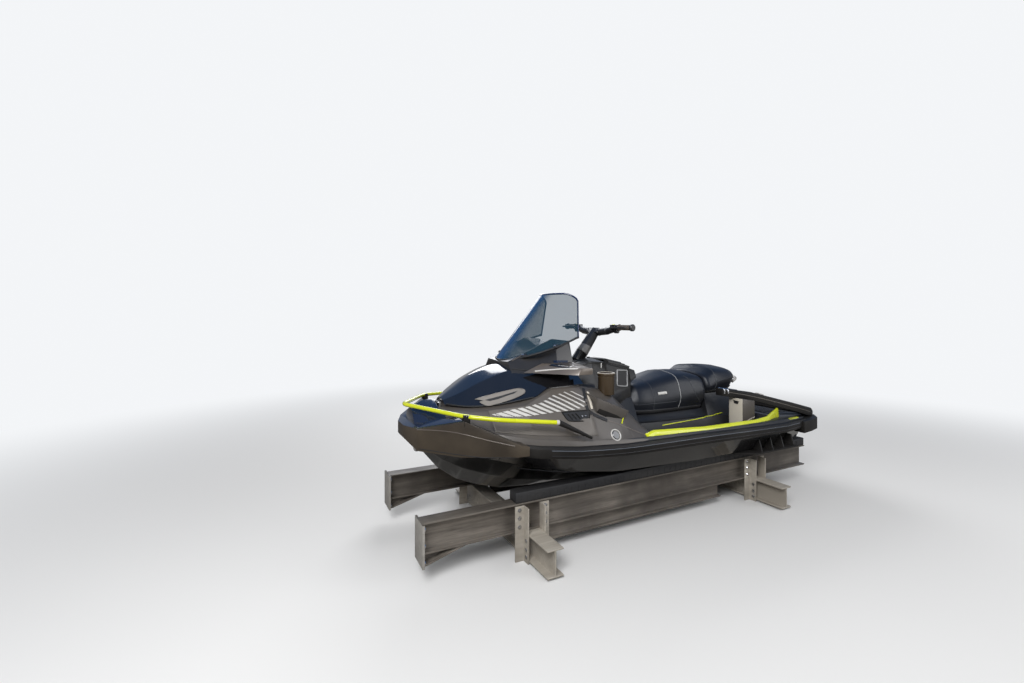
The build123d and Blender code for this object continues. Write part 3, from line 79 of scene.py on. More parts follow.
Color = tuple[float, float, float, float]
Flat = tuple[float, float]
Point = tuple[float, float, float]
Piece = bpy.types.Object
Socket = bpy.types.NodeSocket
Sockets = Mapping[str, Socket]
IMAGE_WIDTH = 1024
IMAGE_HEIGHT = 683
SMOOTH_ANGLE = math.radians(32)
BEVEL_ANGLE = math.radians(28)
FLAT_ANGLE = math.radians(0.6)
MERGE_DISTANCE = 2e-5
RAY_LENGTH = 0.6
ROD_SIDES = 24
HOOP_TURNS = 40
BEAD_SIDES = 10
MM = 0.001


class Side(Enum):
    """Which side of the centre plane a piece is on."""

    PORT = 1
    STARBOARD = -1

    def named(self, name: str) -> str:
        """A piece's name with its side."""
        return f"{name}_{self.name.lower()}"


BOTH = tuple(Side)
ONCE = (Side.PORT,)


class Texture(Enum):
    """Relief that a moulded or sewn surface carries."""

    PLAIN = "plain"
    PEBBLE = "pebble"
    LEATHER = "leather"
    MILLED = "milled"
    CAST = "cast"


def rgb(red: float, green: float, blue: float, alpha: float = 1.0) -> Color:
    """A colour with its alpha."""
    return (red, green, blue, alpha)


class Graph:
    """Adds nodes to a node tree and links them."""

    def __init__(self, tree: bpy.types.NodeTree) -> None:
        """Work on a node tree."""
        self.tree = tree

    def feed(self, node: bpy.types.Node, numbered: dict[int, object] | None = None,
             **values: object) -> None:
        """Set a node's properties, and give its inputs values or links.

        Args:
            node: the node.
            numbered: inputs by number, where several share a name.
            values: properties by name, or inputs by name with spaces as underscores.
        """
        inputs: list[tuple[Socket, object]] = []
        for name, value in values.items():
            if hasattr(node, name):
                setattr(node, name, value)
            else:
                inputs.append((node.inputs[name.replace("_", " ")], value))
        inputs += [(node.inputs[index], value) for index, value in (numbered or {}).items()]
        for target, value in inputs:
            if isinstance(value, bpy.types.NodeSocket):
                self.tree.links.new(value, target)
            else:
                target.default_value = value

    def add(self, kind: str, numbered: dict[int, object] | None = None,
            **values: object) -> bpy.types.Node:
        """Add a node of a Blender type, fed as above, and return it."""
        node = self.tree.nodes.new(kind)
        self.feed(node, numbered, **values)
        return node

    def take(self, kind: str, output: str | int, numbered: dict[int, object] | None = None,
             **values: object) -> Socket:
        """Add a node of a Blender type, fed as above, and return one of its outputs."""
        return self.add(kind, numbered, **values).outputs[output]


class NodeGroups:
    """Node groups that are built once, with named inputs and outputs."""

    kind = "ShaderNodeTree"

    def __init__(self) -> None:
        """Start with no group made."""
        self.cache: dict[str, bpy.types.NodeTree] = {}

    def group(self, name: str, inputs: dict[str, tuple[str, object]],
              outputs: dict[str, str], fill: Callable[[Graph, Sockets], dict[str, Socket]]
              ) -> bpy.types.NodeTree:
        """Make a group once and keep it.

        Args:
            name: the group's name.
            inputs: socket type and default of each input.
            outputs: socket type of each output.
            fill: adds the nodes, from the graph and the group's inputs, and returns the outputs.

        Returns:
            The node group.
        """
        if name in self.cache:
            return self.cache[name]
        tree = bpy.data.node_groups.new(name, self.kind)
        for label, (kind, default) in inputs.items():
            socket = tree.interface.new_socket(label, in_out="INPUT", socket_type=kind)
            if default is not None:
                socket.default_value = default
        for label, kind in outputs.items():
            tree.interface.new_socket(label, in_out="OUTPUT", socket_type=kind)
        given = tree.nodes.new("NodeGroupInput").outputs
        sink = tree.nodes.new("NodeGroupOutput")
        for label, socket in fill(Graph(tree), given).items():
            tree.links.new(socket, sink.inputs[label])
        self.cache[name] = tree
        return tree


class Effects(NodeGroups):
    """Shader effects that several finishes share."""

    def weather(self) -> bpy.types.NodeTree:
        """Colour and roughness that drift over a surface, as dust and handling leave them.

        Returns:
            The node group.
        """
        def fill(graph: Graph, given: Sockets) -> dict[str, Socket]:
            """Add the group's nodes."""
            place = graph.take("ShaderNodeTexCoord", "Object")
            broad = graph.take("ShaderNodeTexNoise", "Fac", Detail=4.0, Vector=place,
                               Scale=given["Scale"])
            spread = graph.take("ShaderNodeMapRange", "Result", From_Min=0.35, From_Max=0.68,
                                Value=broad)
            tint = graph.take("ShaderNodeMix", 2, {6: given["Color"], 7: given["Dust"]},
                              data_type="RGBA", Factor=spread)
            sheen = graph.take("ShaderNodeMapRange", "Result", From_Min=0.3, From_Max=0.7,
                               Value=broad, To_Min=given["Smooth"], To_Max=given["Rough"])
            return {"Color": tint, "Roughness": sheen}

        return self.group(
            "weather",
            {"Color": ("NodeSocketColor", rgb(0.1, 0.1, 0.1)),
             "Dust": ("NodeSocketColor", rgb(0.2, 0.2, 0.2)),
             "Scale": ("NodeSocketFloat", 3.0),
             "Smooth": ("NodeSocketFloat", 0.3), "Rough": ("NodeSocketFloat", 0.5)},
            {"Color": "NodeSocketColor", "Roughness": "NodeSocketFloat"}, fill)

    def pebble(self) -> bpy.types.NodeTree:
        """Height of a fine moulded or leather grain.

        Returns:
            The node group.
        """
        def fill(graph: Graph, given: Sockets) -> dict[str, Socket]:
            """Add the group's nodes."""
            place = graph.take("ShaderNodeTexCoord", "Object")
            cells = graph.take("ShaderNodeTexVoronoi", "Distance", feature="SMOOTH_F1",
                               Smoothness=0.35, Vector=place, Scale=given["Scale"])
            noise = graph.take("ShaderNodeTexNoise", "Fac", Detail=3.0, Vector=place,
                               Scale=given["Scale"])
            return {"Height": graph.take("ShaderNodeMix", 0, {2: cells, 3: noise},
                                         data_type="FLOAT", Factor=0.35)}

        return self.group("pebble", {"Scale": ("NodeSocketFloat", 600.0)},
                          {"Height": "NodeSocketFloat"}, fill)

    def streak(self) -> bpy.types.NodeTree:
        """Rolling and milling marks drawn out along the X axis, with their height.

        Returns:
            The node group.
        """
        def fill(graph: Graph, given: Sockets) -> dict[str, Socket]:
            """Add the group's nodes."""
            place = graph.take("ShaderNodeTexCoord", "Object")
            stretch = graph.take("ShaderNodeMapping", "Vector", Scale=(0.6, 9.0, 9.0),
                                 Vector=place)
            noise = graph.take("ShaderNodeTexNoise", "Fac", Detail=6.0, Roughness=0.65,
                               Vector=stretch, Scale=given["Scale"])
            mask = graph.take("ShaderNodeMapRange", "Result", From_Min=0.32, From_Max=0.7,
                              Value=noise)
            return {"Mask": mask, "Height": noise}

        return self.group("streak", {"Scale": ("NodeSocketFloat", 4.0)},
                          {"Mask": "NodeSocketFloat", "Height": "NodeSocketFloat"}, fill)


EFFECTS = Effects()


@dataclass(frozen=True)
class Finish:
    """One painted, moulded, cast or sewn surface."""

    slot: str
    color: Color
    dust: Color
    smooth: float = 0.3
    rough: float = 0.45
    metallic: float = 0.0
    coat: float = 0.0
    specular: float = 0.5
    texture: Texture = Texture.PLAIN
    grain: float = 500.0
    depth: float = 0.0002
    drift: float = 3.0
    label: str = ""

    @property
    def name(self) -> str:
        """The material's name, never a bare slot's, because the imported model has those."""
        return self.label or f"{self.slot}_finish"

    def material(self) -> bpy.types.Material:
        """Build the material once and hand it out after that.

        Returns:
            The material.
        """
        found = bpy.data.materials.get(self.name)
        if found is not None:
            return found
        material = bpy.data.materials.new(self.name)
        material.use_nodes = True
        material.node_tree.nodes.clear()
        graph = Graph(material.node_tree)
        shader = graph.add("ShaderNodeBsdfPrincipled", Metallic=self.metallic,
                           Coat_Weight=self.coat, Coat_Roughness=0.06,
                           Specular_IOR_Level=self.specular)
        self.paint(graph, shader)
        graph.add("ShaderNodeOutputMaterial", Surface=shader.outputs["BSDF"])
        material.diffuse_color = self.color
        return material

    def paint(self, graph: Graph, shader: bpy.types.Node) -> None:
        """Feed the shader its drifting colour and roughness and its relief.

        Args:
            graph: the material's graph.
            shader: the material's shader.
        """
        weather = graph.add("ShaderNodeGroup", node_tree=EFFECTS.weather(), Color=self.color,
                            Dust=self.dust, Scale=self.drift, Smooth=self.smooth,
                            Rough=self.rough)
        graph.feed(shader, Base_Color=weather.outputs["Color"],
                   Roughness=weather.outputs["Roughness"])
        height = self.relief(graph, shader, weather)
        if height is not None:
            bump = graph.take("ShaderNodeBump", "Normal", Strength=0.9, Distance=self.depth,
                              Height=height)
            graph.feed(shader, Normal=bump)

    def relief(self, graph: Graph, shader: bpy.types.Node,
               weather: bpy.types.Node) -> Socket | None:
        """Add the relief's nodes.

        Args:
            graph: the material's graph.
            shader: the material's shader.
            weather: the group that gives the colour and roughness.

        Returns:
            The socket that holds the height, or None on a plain surface.
        """
        if self.texture is Texture.PLAIN:
            return None
        if self.texture is not Texture.MILLED:
            return graph.take("ShaderNodeGroup", "Height", node_tree=EFFECTS.pebble(),
                              Scale=self.grain)
        streak = graph.add("ShaderNodeGroup", node_tree=EFFECTS.streak(), Scale=self.grain)
        tint = graph.take("ShaderNodeMix", 2, {6: weather.outputs["Color"], 7: self.dust},
                          data_type="RGBA", Factor=streak.outputs["Mask"])
        graph.feed(shader, Base_Color=tint)
        return streak.outputs["Height"]


@dataclass(frozen=True)
class Glass(Finish):
    """Tinted sheet, clear where it faces the eye and deep blue where it's seen at a slant."""

    def paint(self, graph: Graph, shader: bpy.types.Node) -> None:
        """Mix the sheet's two tints and its cover by the angle of view.

        Args:
            graph: the material's graph.
            shader: the material's shader.
        """
        slant = graph.take("ShaderNodeLayerWeight", "Facing", Blend=0.35)
        depth = graph.take("ShaderNodeMapRange", "Result", interpolation_type="SMOOTHSTEP",
                           From_Min=0.22, From_Max=0.6, Value=slant)
        tint = graph.take("ShaderNodeMix", 2, {6: self.color, 7: self.dust}, data_type="RGBA",
                          Factor=depth)
        cover = graph.take("ShaderNodeMapRange", "Result", To_Min=self.color[3], To_Max=0.92,
                           Value=depth)
        graph.feed(shader, Base_Color=tint, Alpha=cover, Roughness=self.smooth, IOR=1.2)


class Finishes:
    """Every finish of the craft and its cradle."""

    HULL = Finish("hull_black", rgb(0.006, 0.006, 0.007), rgb(0.014, 0.013, 0.012), 0.1, 0.22,
                  coat=0.8)
    METALLIC = Finish("grey_panel", rgb(0.085, 0.076, 0.068), rgb(0.11, 0.098, 0.087), 0.3, 0.46,
                      metallic=0.1, specular=0.4, label="deck_grey")
    LIGHT_METALLIC = Finish("grey_panel", rgb(0.17, 0.165, 0.16), rgb(0.22, 0.21, 0.2), 0.3,
                            0.45, metallic=0.4, coat=0.2, label="column_grey")
    COWL = Finish("grey_panel", rgb(0.022, 0.02, 0.019), rgb(0.038, 0.034, 0.031), 0.26, 0.42,
                  metallic=0.3, coat=0.3, label="cowl_grey")
    WING = Finish("grey_panel", rgb(0.125, 0.104, 0.086), rgb(0.17, 0.142, 0.118), 0.3, 0.44,
                  metallic=0.3, coat=0.3, label="wing_grey")
    DECK = Finish("deck_black", rgb(0.013, 0.014, 0.016), rgb(0.024, 0.024, 0.026), 0.32, 0.46,
                  specular=0.35, texture=Texture.PEBBLE, grain=420.0, depth=0.0003)
    NOSE = Finish("gloss_black", rgb(0.008, 0.012, 0.03), rgb(0.014, 0.02, 0.042), 0.1, 0.22,
                  coat=0.6, label="nose_blue")
    GLOSS = Finish("gloss_black", rgb(0.006, 0.0065, 0.008), rgb(0.012, 0.012, 0.014), 0.06, 0.15,
                   coat=0.7)
    CONSOLE = Finish("deck_black", rgb(0.012, 0.012, 0.013), rgb(0.024, 0.023, 0.022), 0.3, 0.44,
                     specular=0.35, texture=Texture.PEBBLE, grain=380.0, depth=0.00025,
                     label="console_black")
    PANEL = Finish("grey_panel", rgb(0.12, 0.107, 0.094), rgb(0.15, 0.134, 0.118), 0.3, 0.44,
                   metallic=0.1, specular=0.4)
    TRIM = Finish("trim_black", rgb(0.012, 0.011, 0.0105), rgb(0.026, 0.024, 0.022), 0.42, 0.6,
                  specular=0.2, texture=Texture.PEBBLE, grain=300.0, depth=0.0006)
    LIME = Finish("lime", rgb(0.62, 0.68, 0.008), rgb(0.68, 0.72, 0.02), 0.2, 0.34, coat=0.4)
    SEAT = Finish("seat_cover", rgb(0.008, 0.0095, 0.014), rgb(0.016, 0.018, 0.024), 0.36, 0.48,
                  specular=0.4, texture=Texture.LEATHER, grain=360.0, depth=0.0004)
    PIPING = Finish("seat_cover", rgb(0.32, 0.33, 0.34), rgb(0.4, 0.4, 0.4), 0.4, 0.55,
                    texture=Texture.LEATHER, grain=500.0, depth=0.0002, label="seat_piping")
    SEAM = Finish("seat_cover", rgb(0.05, 0.055, 0.065), rgb(0.08, 0.085, 0.09), 0.5, 0.65,
                  texture=Texture.LEATHER, grain=500.0, depth=0.0002, label="seat_seam")
    MAT = Finish("mat", rgb(0.026, 0.027, 0.029), rgb(0.045, 0.045, 0.047), 0.6, 0.8,
                 texture=Texture.PEBBLE, grain=260.0, depth=0.0006)
    RUBBER = Finish("rubber_black", rgb(0.01, 0.01, 0.011), rgb(0.022, 0.022, 0.022), 0.5, 0.7,
                    texture=Texture.PEBBLE, grain=260.0, depth=0.0005)
    GRIP = Finish("rubber_black", rgb(0.07, 0.055, 0.045), rgb(0.1, 0.082, 0.068), 0.5, 0.68,
                  texture=Texture.PEBBLE, grain=420.0, depth=0.0005, label="grip_rubber")
    BUMPER = Finish("trim_black", rgb(0.035, 0.027, 0.019), rgb(0.075, 0.058, 0.04), 0.42, 0.6,
                    specular=0.35, texture=Texture.PEBBLE, grain=230.0, depth=0.0009,
                    label="bumper_brown")
    SCOOP = Finish("light_grey", rgb(0.2, 0.182, 0.165), rgb(0.26, 0.238, 0.215), 0.3, 0.45,
                   coat=0.2, label="scoop_grey")
    CAP = Finish("trim_black", rgb(0.055, 0.037, 0.02), rgb(0.09, 0.064, 0.038), 0.3, 0.45,
                 label="cap_brown")
    # painted highlight: blue-grey for the sky's highlight along the upper rub-rail insert
    RAIL_HIGHLIGHT = Finish("black_steel", rgb(0.1, 0.115, 0.14), rgb(0.15, 0.165, 0.19), 0.26,
                        0.4, label="rail_highlight")
    STEEL_BLACK = Finish("black_steel", rgb(0.014, 0.014, 0.016), rgb(0.028, 0.028, 0.029), 0.26,
                         0.42)
    STAINLESS = Finish("stainless", rgb(0.6, 0.6, 0.61), rgb(0.5, 0.5, 0.5), 0.16, 0.32,
                       metallic=1.0)
    CAST = Finish("cast_metal", rgb(0.46, 0.47, 0.48), rgb(0.36, 0.36, 0.37), 0.38, 0.6,
                  metallic=0.9, texture=Texture.CAST, grain=380.0, depth=0.0005)
    ENGINE = Finish("engine_grey", rgb(0.12, 0.12, 0.125), rgb(0.16, 0.16, 0.16), 0.5, 0.7,
                    texture=Texture.CAST, grain=200.0, depth=0.0006)
    BEAM = Finish("beam_aluminium", rgb(0.3, 0.268, 0.232), rgb(0.1, 0.088, 0.076), 0.36, 0.6,
                  metallic=0.4, texture=Texture.MILLED, grain=4.0, depth=0.0004)
    CROSS = Finish("beam_aluminium", rgb(0.56, 0.52, 0.455), rgb(0.36, 0.325, 0.275), 0.4, 0.6,
                   metallic=0.25, texture=Texture.MILLED, grain=4.0, depth=0.0004,
                   label="cross_beam")
    PLATE = Finish("beam_aluminium", rgb(0.46, 0.44, 0.405), rgb(0.33, 0.312, 0.285), 0.42, 0.6,
                   metallic=0.3, texture=Texture.MILLED, grain=3.0, depth=0.0003,
                   label="end_plate")
    BUNK = Finish("bunk_black", rgb(0.014, 0.014, 0.016), rgb(0.03, 0.029, 0.028), 0.5, 0.7,
                  texture=Texture.PEBBLE, grain=200.0, depth=0.0005)
    LIGHT = Finish("light_grey", rgb(0.36, 0.345, 0.33), rgb(0.42, 0.4, 0.38), 0.3, 0.45,
                   coat=0.2)
    DECAL = Finish("light_grey", rgb(0.55, 0.54, 0.52), rgb(0.6, 0.59, 0.57), 0.3, 0.42,
                   coat=0.2, label="decal_grey")
    CREAM = Finish("light_grey", rgb(0.62, 0.57, 0.48), rgb(0.68, 0.63, 0.54), 0.3, 0.45,
                   coat=0.2, label="cream_grey")
    LENS = Glass("gloss_black", rgb(0.01, 0.02, 0.05), rgb(0.02, 0.03, 0.06), 0.04, 0.1,
                 label="dark_lens")
    SCREEN = Glass("tinted_screen", rgb(0.025, 0.065, 0.1, 0.4), rgb(0.03, 0.085, 0.21), 0.05,
                   specular=0.12)
    SCREEN_EDGE = Finish("tinted_screen", rgb(0.006, 0.016, 0.07), rgb(0.01, 0.022, 0.09), 0.1,
                         0.2, coat=0.6, label="screen_edge")
    MIRROR = Finish("mirror", rgb(0.8, 0.82, 0.85), rgb(0.78, 0.8, 0.83), 0.02, 0.05,
                    metallic=1.0)


def put(mesh: bpy.types.Mesh, name: str) -> Piece:
    """Put a mesh in the scene as an object at the origin."""
    piece = bpy.data.objects.new(name, mesh)
    bpy.context.scene.collection.objects.link(piece)
    return piece


def frozen(build: bmesh.types.BMesh, name: str) -> bpy.types.Mesh:
    """Keep what is being built as a new mesh."""
    mesh = bpy.data.meshes.new(name)
    build.to_mesh(mesh)
    build.free()
    return mesh


def baked(piece: Piece) -> Piece:
    """Turn an object with modifiers into a plain mesh.

    Args:
        piece: the object.

    Returns:
        The same object, with what its modifiers made.
    """
    bpy.context.view_layer.update()
    evaluated = piece.evaluated_get(bpy.context.evaluated_depsgraph_get())
    mesh = bpy.data.meshes.new_from_object(evaluated)
    piece.modifiers.clear()
    old = piece.data
    piece.data = mesh
    if old.users == 0:
        bpy.data.meshes.remove(old)
    return piece


def walled(piece: Piece, thickness: float) -> Piece:
    """Thicken a sheet inwards into a closed wall."""
    wall = piece.modifiers.new("wall", "SOLIDIFY")
    wall.thickness = thickness
    wall.offset = -1.0
    return baked(piece)


def faced(piece: Piece, way: Point) -> None:
    """Turn a sheet's faces over if they look away from a direction."""
    if sum(face.normal.dot(Vector(way)) for face in piece.data.polygons) < 0:
        piece.data.flip_normals()


def smoothed(piece: Piece, angle: float = SMOOTH_ANGLE) -> Piece:
    """Shade a piece smooth, with edges over the angle kept sharp."""
    mesh = piece.data
    mesh.polygons.foreach_set("use_smooth", [True] * len(mesh.polygons))
    mesh.set_sharp_from_angle(angle=angle)
    return piece


def meshed(points: Sequence[Vector], faces: Sequence[Sequence[int]], name: str,
           closed: bool = True) -> Piece:
    """Make a piece from points and faces, with its doubles merged and its faces outwards.

    Args:
        points: the vertices, in metres in the frame's axes.
        faces: the vertices of each face.
        name: the piece's name.
        closed: whether the faces close a body, so that outwards can be worked out.

    Returns:
        The new piece.
    """
    mesh = bpy.data.meshes.new(name)
    mesh.from_pydata([tuple(point) for point in points], [], [tuple(face) for face in faces])
    build = bmesh.new()
    build.from_mesh(mesh)
    bmesh.ops.remove_doubles(build, verts=build.verts, dist=MERGE_DISTANCE)
    if closed:
        bmesh.ops.recalc_face_normals(build, faces=build.faces)
    build.to_mesh(mesh)
    build.free()
    return put(mesh, name)


def turns(count: int, shift: float = 0.0) -> list[float]:
    """Even angles round a circle, shifted by a share of their step."""
    return [math.tau * (index + shift) / count for index in range(count)]


def tube_faces(rings: int, size: int, hoop: bool = False) -> list[tuple[int, ...]]:
    """Faces of a tube of equal rings of points, joined into a hoop or capped at both ends.

    Args:
        rings: how many rings there are.
        size: points in a ring.
        hoop: whether the last ring meets the first.

    Returns:
        The points of each face, by number.
    """
    faces: list[tuple[int, ...]] = [
        (i * size + k, i * size + (k + 1) % size,
         (i + 1) % rings * size + (k + 1) % size, (i + 1) % rings * size + k)
        for i in range(rings if hoop else rings - 1) for k in range(size)]
    if not hoop:
        faces += [tuple(range(size)), tuple(range((rings - 1) * size, rings * size))]
    return faces


def tree_of(*pieces: Piece) -> BVHTree:
    """Search tree over the faces of one piece or more.

    Args:
        pieces: the pieces.

    Returns:
        The tree.
    """
    points: list[Vector] = []
    faces: list[tuple[int, ...]] = []
    for piece in pieces:
        start = len(points)
        points += [vertex.co.copy() for vertex in piece.data.vertices]
        faces += [tuple(start + index for index in face.vertices) for face in piece.data.polygons]
    return BVHTree.FromPolygons(points, faces)


def split(piece: Piece, place: Vector, normal: Vector) -> None:
    """Cut a piece's faces along a plane, so that each side can have its own finish.

    Args:
        piece: the piece.
        place: a point on the plane.
        normal: the plane's normal.
    """
    build = bmesh.new()
    build.from_mesh(piece.data)
    bmesh.ops.bisect_plane(build, geom=build.verts[:] + build.edges[:] + build.faces[:],
                           plane_co=place, plane_no=normal, dist=1e-6)
    build.to_mesh(piece.data)
    build.free()


def slopes(places: np.ndarray, values: np.ndarray) -> np.ndarray:
    """Slopes at the places that keep a cubic between them from overshooting.

    Args:
        places: rising places.
        values: the value at each place.

    Returns:
        The slope at each place.
    """
    steps = np.diff(places)
    rates = np.diff(values) / steps
    found = np.zeros_like(values)
    found[0] = rates[0]
    found[-1] = rates[-1]
    for index in range(1, len(values) - 1):
        before, after = rates[index - 1], rates[index]
        if before * after > 0:
            near = 2 * steps[index] + steps[index - 1]
            far = steps[index] + 2 * steps[index - 1]
            found[index] = (near + far) / (near / before + far / after)
    return found


def eased(places: np.ndarray, values: np.ndarray, at: np.ndarray) -> np.ndarray:
    """Values between places, on a smooth curve that doesn't overshoot.

    Args:
        places: rising places.
        values: the value at each place.
        at: where values are wanted.

    Returns:
        The values there.
    """
    slope = slopes(places, values)
    index = np.clip(np.searchsorted(places, at) - 1, 0, len(places) - 2)
    step = places[index + 1] - places[index]
    share = (at - places[index]) / step
    start = (1 + 2 * share) * (1 - share) ** 2 * values[index]
    end = share ** 2 * (3 - 2 * share) * values[index + 1]
    lift = share * (1 - share) ** 2 * step * slope[index]
    fall = share ** 2 * (share - 1) * step * slope[index + 1]
    return start + end + lift + fall


def rounded(points: Sequence[Flat], shares: Sequence[float], closed: bool,
            cuts: int = 4) -> list[Flat]:
    """Round the corners of a line.

    Args:
        points: the line's corners.
        shares: the share of the neighbouring edges that each corner's arc takes, under a half.
        closed: whether the line closes.
        cuts: edges in each arc.

    Returns:
        The points of the rounded line, as many for every line with the same corners.
    """
    count = len(points)
    line: list[Flat] = []
    for index, (point, share) in enumerate(zip(points, shares)):
        if not closed and index in (0, count - 1):
            line.append(point)
            continue
        corner = np.array(point)
        start = corner + share * (np.array(points[index - 1]) - corner)
        end = corner + share * (np.array(points[(index + 1) % count]) - corner)
        for cut in range(cuts + 1):
            t = cut / cuts
            bend = (1 - t) ** 2 * start + 2 * t * (1 - t) * corner + t ** 2 * end
            line.append((float(bend[0]), float(bend[1])))
    return line


def spaced(points: Sequence[Vector], step: float, closed: bool) -> list[Vector]:
    """Points at even spacing along a smooth curve through others.

    Args:
        points: the points that it runs through.
        step: about how far apart, in metres.
        closed: whether it comes back to its start.

    Returns:
        The points.
    """
    nodes = list(points) + ([points[0]] if closed else [])
    lengths = np.concatenate([[0.0], np.cumsum([(b - a).length for a, b in zip(nodes, nodes[1:])])])
    count = max(2, int(round(lengths[-1] / step)))
    at = np.linspace(0.0, lengths[-1], count + 1)
    axes = [eased(lengths, np.array([node[axis] for node in nodes]), at) for axis in range(3)]
    found = [Vector(values) for values in zip(*axes)]
    return found[:-1] if closed else found


@dataclass(frozen=True)
class Line:
    """A bead or strip laid over a surface, through points in mm above the keel line."""

    points: Sequence[Point]
    width: float
    rise: float
    closed: bool = False
    round: bool = False
    step: float = 12.0
    sink: float = 1.5

    def profile(self) -> list[Flat]:
        """Corners of the strip's section, across the surface and out of it."""
        half = self.width / 2
        if self.round:
            return [(half * math.cos(angle), self.rise - half + half * math.sin(angle))
                    for angle in turns(BEAD_SIDES)]
        bevel = min(self.rise * 0.4, half * 0.4)
        return [(half, -self.sink), (half, self.rise - bevel), (half - bevel, self.rise),
                (bevel - half, self.rise), (-half, self.rise - bevel), (-half, -self.sink)]


@dataclass(frozen=True)
class Loft:
    """A skin through half sections that are mirrored across the centre plane.

    Every half section runs outwards from the centre plane. A closed one comes back to it.
    """

    stations: Sequence[tuple[float, Sequence[Flat]]]
    shares: Sequence[float]
    closed: bool
    step: float = 22.0
    cuts: int = 4

    def whole(self, half: Sequence[Flat]) -> tuple[list[Flat], list[float]]:
        """A mirrored section and the rounding of its corners.

        Args:
            half: the half section.

        Returns:
            The whole section's corners and the share of each.
        """
        other = [((-y, z), share) for (y, z), share in zip(half, self.shares) if y > 0]
        if self.closed:
            both = list(zip(half, self.shares)) + other[::-1]
        else:
            both = other[::-1] + list(zip(half, self.shares))
        return [point for point, _ in both], [share for _, share in both]

    def grid(self, keel: float) -> list[list[Vector]]:
        """Rows of the skin's points in metres, one row to a place along the craft.

        Args:
            keel: height of the keel line over the floor.

        Returns:
            The rows, from the stern on.
        """
        ordered = sorted(self.stations, key=lambda station: station[0])
        places = np.array([x for x, _ in ordered], dtype=float)
        lines = np.array([rounded(*self.whole(half), self.closed, self.cuts)
                          for _, half in ordered], dtype=float)
        spans = [max(1, int(round(gap / self.step))) for gap in np.diff(places)]
        at = np.concatenate([np.linspace(a, b, span, endpoint=False)
                             for a, b, span in zip(places, places[1:], spans)] + [places[-1:]])
        ys = np.array([eased(places, lines[:, k, 0], at) for k in range(lines.shape[1])])
        zs = np.array([eased(places, lines[:, k, 1], at) for k in range(lines.shape[1])])
        return [[Vector((x * MM, y * MM, keel + z * MM)) for y, z in zip(ys[:, i], zs[:, i])]
                for i, x in enumerate(at)]

    def build(self, keel: float, name: str) -> Piece:
        """Build the skin.

        Args:
            keel: height of the keel line over the floor.
            name: the piece's name.

        Returns:
            A closed body, or an open sheet.
        """
        rows = self.grid(keel)
        width = len(rows[0])
        points = [point for row in rows for point in row]
        if self.closed:
            return meshed(points, tube_faces(len(rows), width), name)
        faces = [(i * width + k, i * width + k + 1, (i + 1) * width + k + 1, (i + 1) * width + k)
                 for i in range(len(rows) - 1) for k in range(width - 1)]
        return meshed(points, faces, name, closed=False)


def nosed(stations: Sequence[tuple[float, Sequence[Flat]]], reach: float,
          centre_z: float) -> list[tuple[float, Sequence[Flat]]]:
    """Round off both ends of a row of sections.

    Args:
        stations: the sections, in rising or falling order.
        reach: length of each rounded end.
        centre_z: height towards which the ends shrink.

    Returns:
        The sections with smaller ones before the first and after the last.
    """
    ordered = sorted(stations, key=lambda station: station[0])
    (low, first), (high, last) = ordered[0], ordered[-1]

    def shrunk(half: Sequence[Flat], share: float) -> list[Flat]:
        """A half section at a share of its size."""
        return [(y * share, centre_z + (z - centre_z) * share) for y, z in half]

    middle = ordered[1:-1]
    return ([(low, shrunk(first, 0.8)), (low + reach * 0.2, shrunk(first, 0.92)),
             (low + reach, first)] + middle
            + [(high - reach, last), (high - reach * 0.2, shrunk(last, 0.92)),
               (high, shrunk(last, 0.8))])


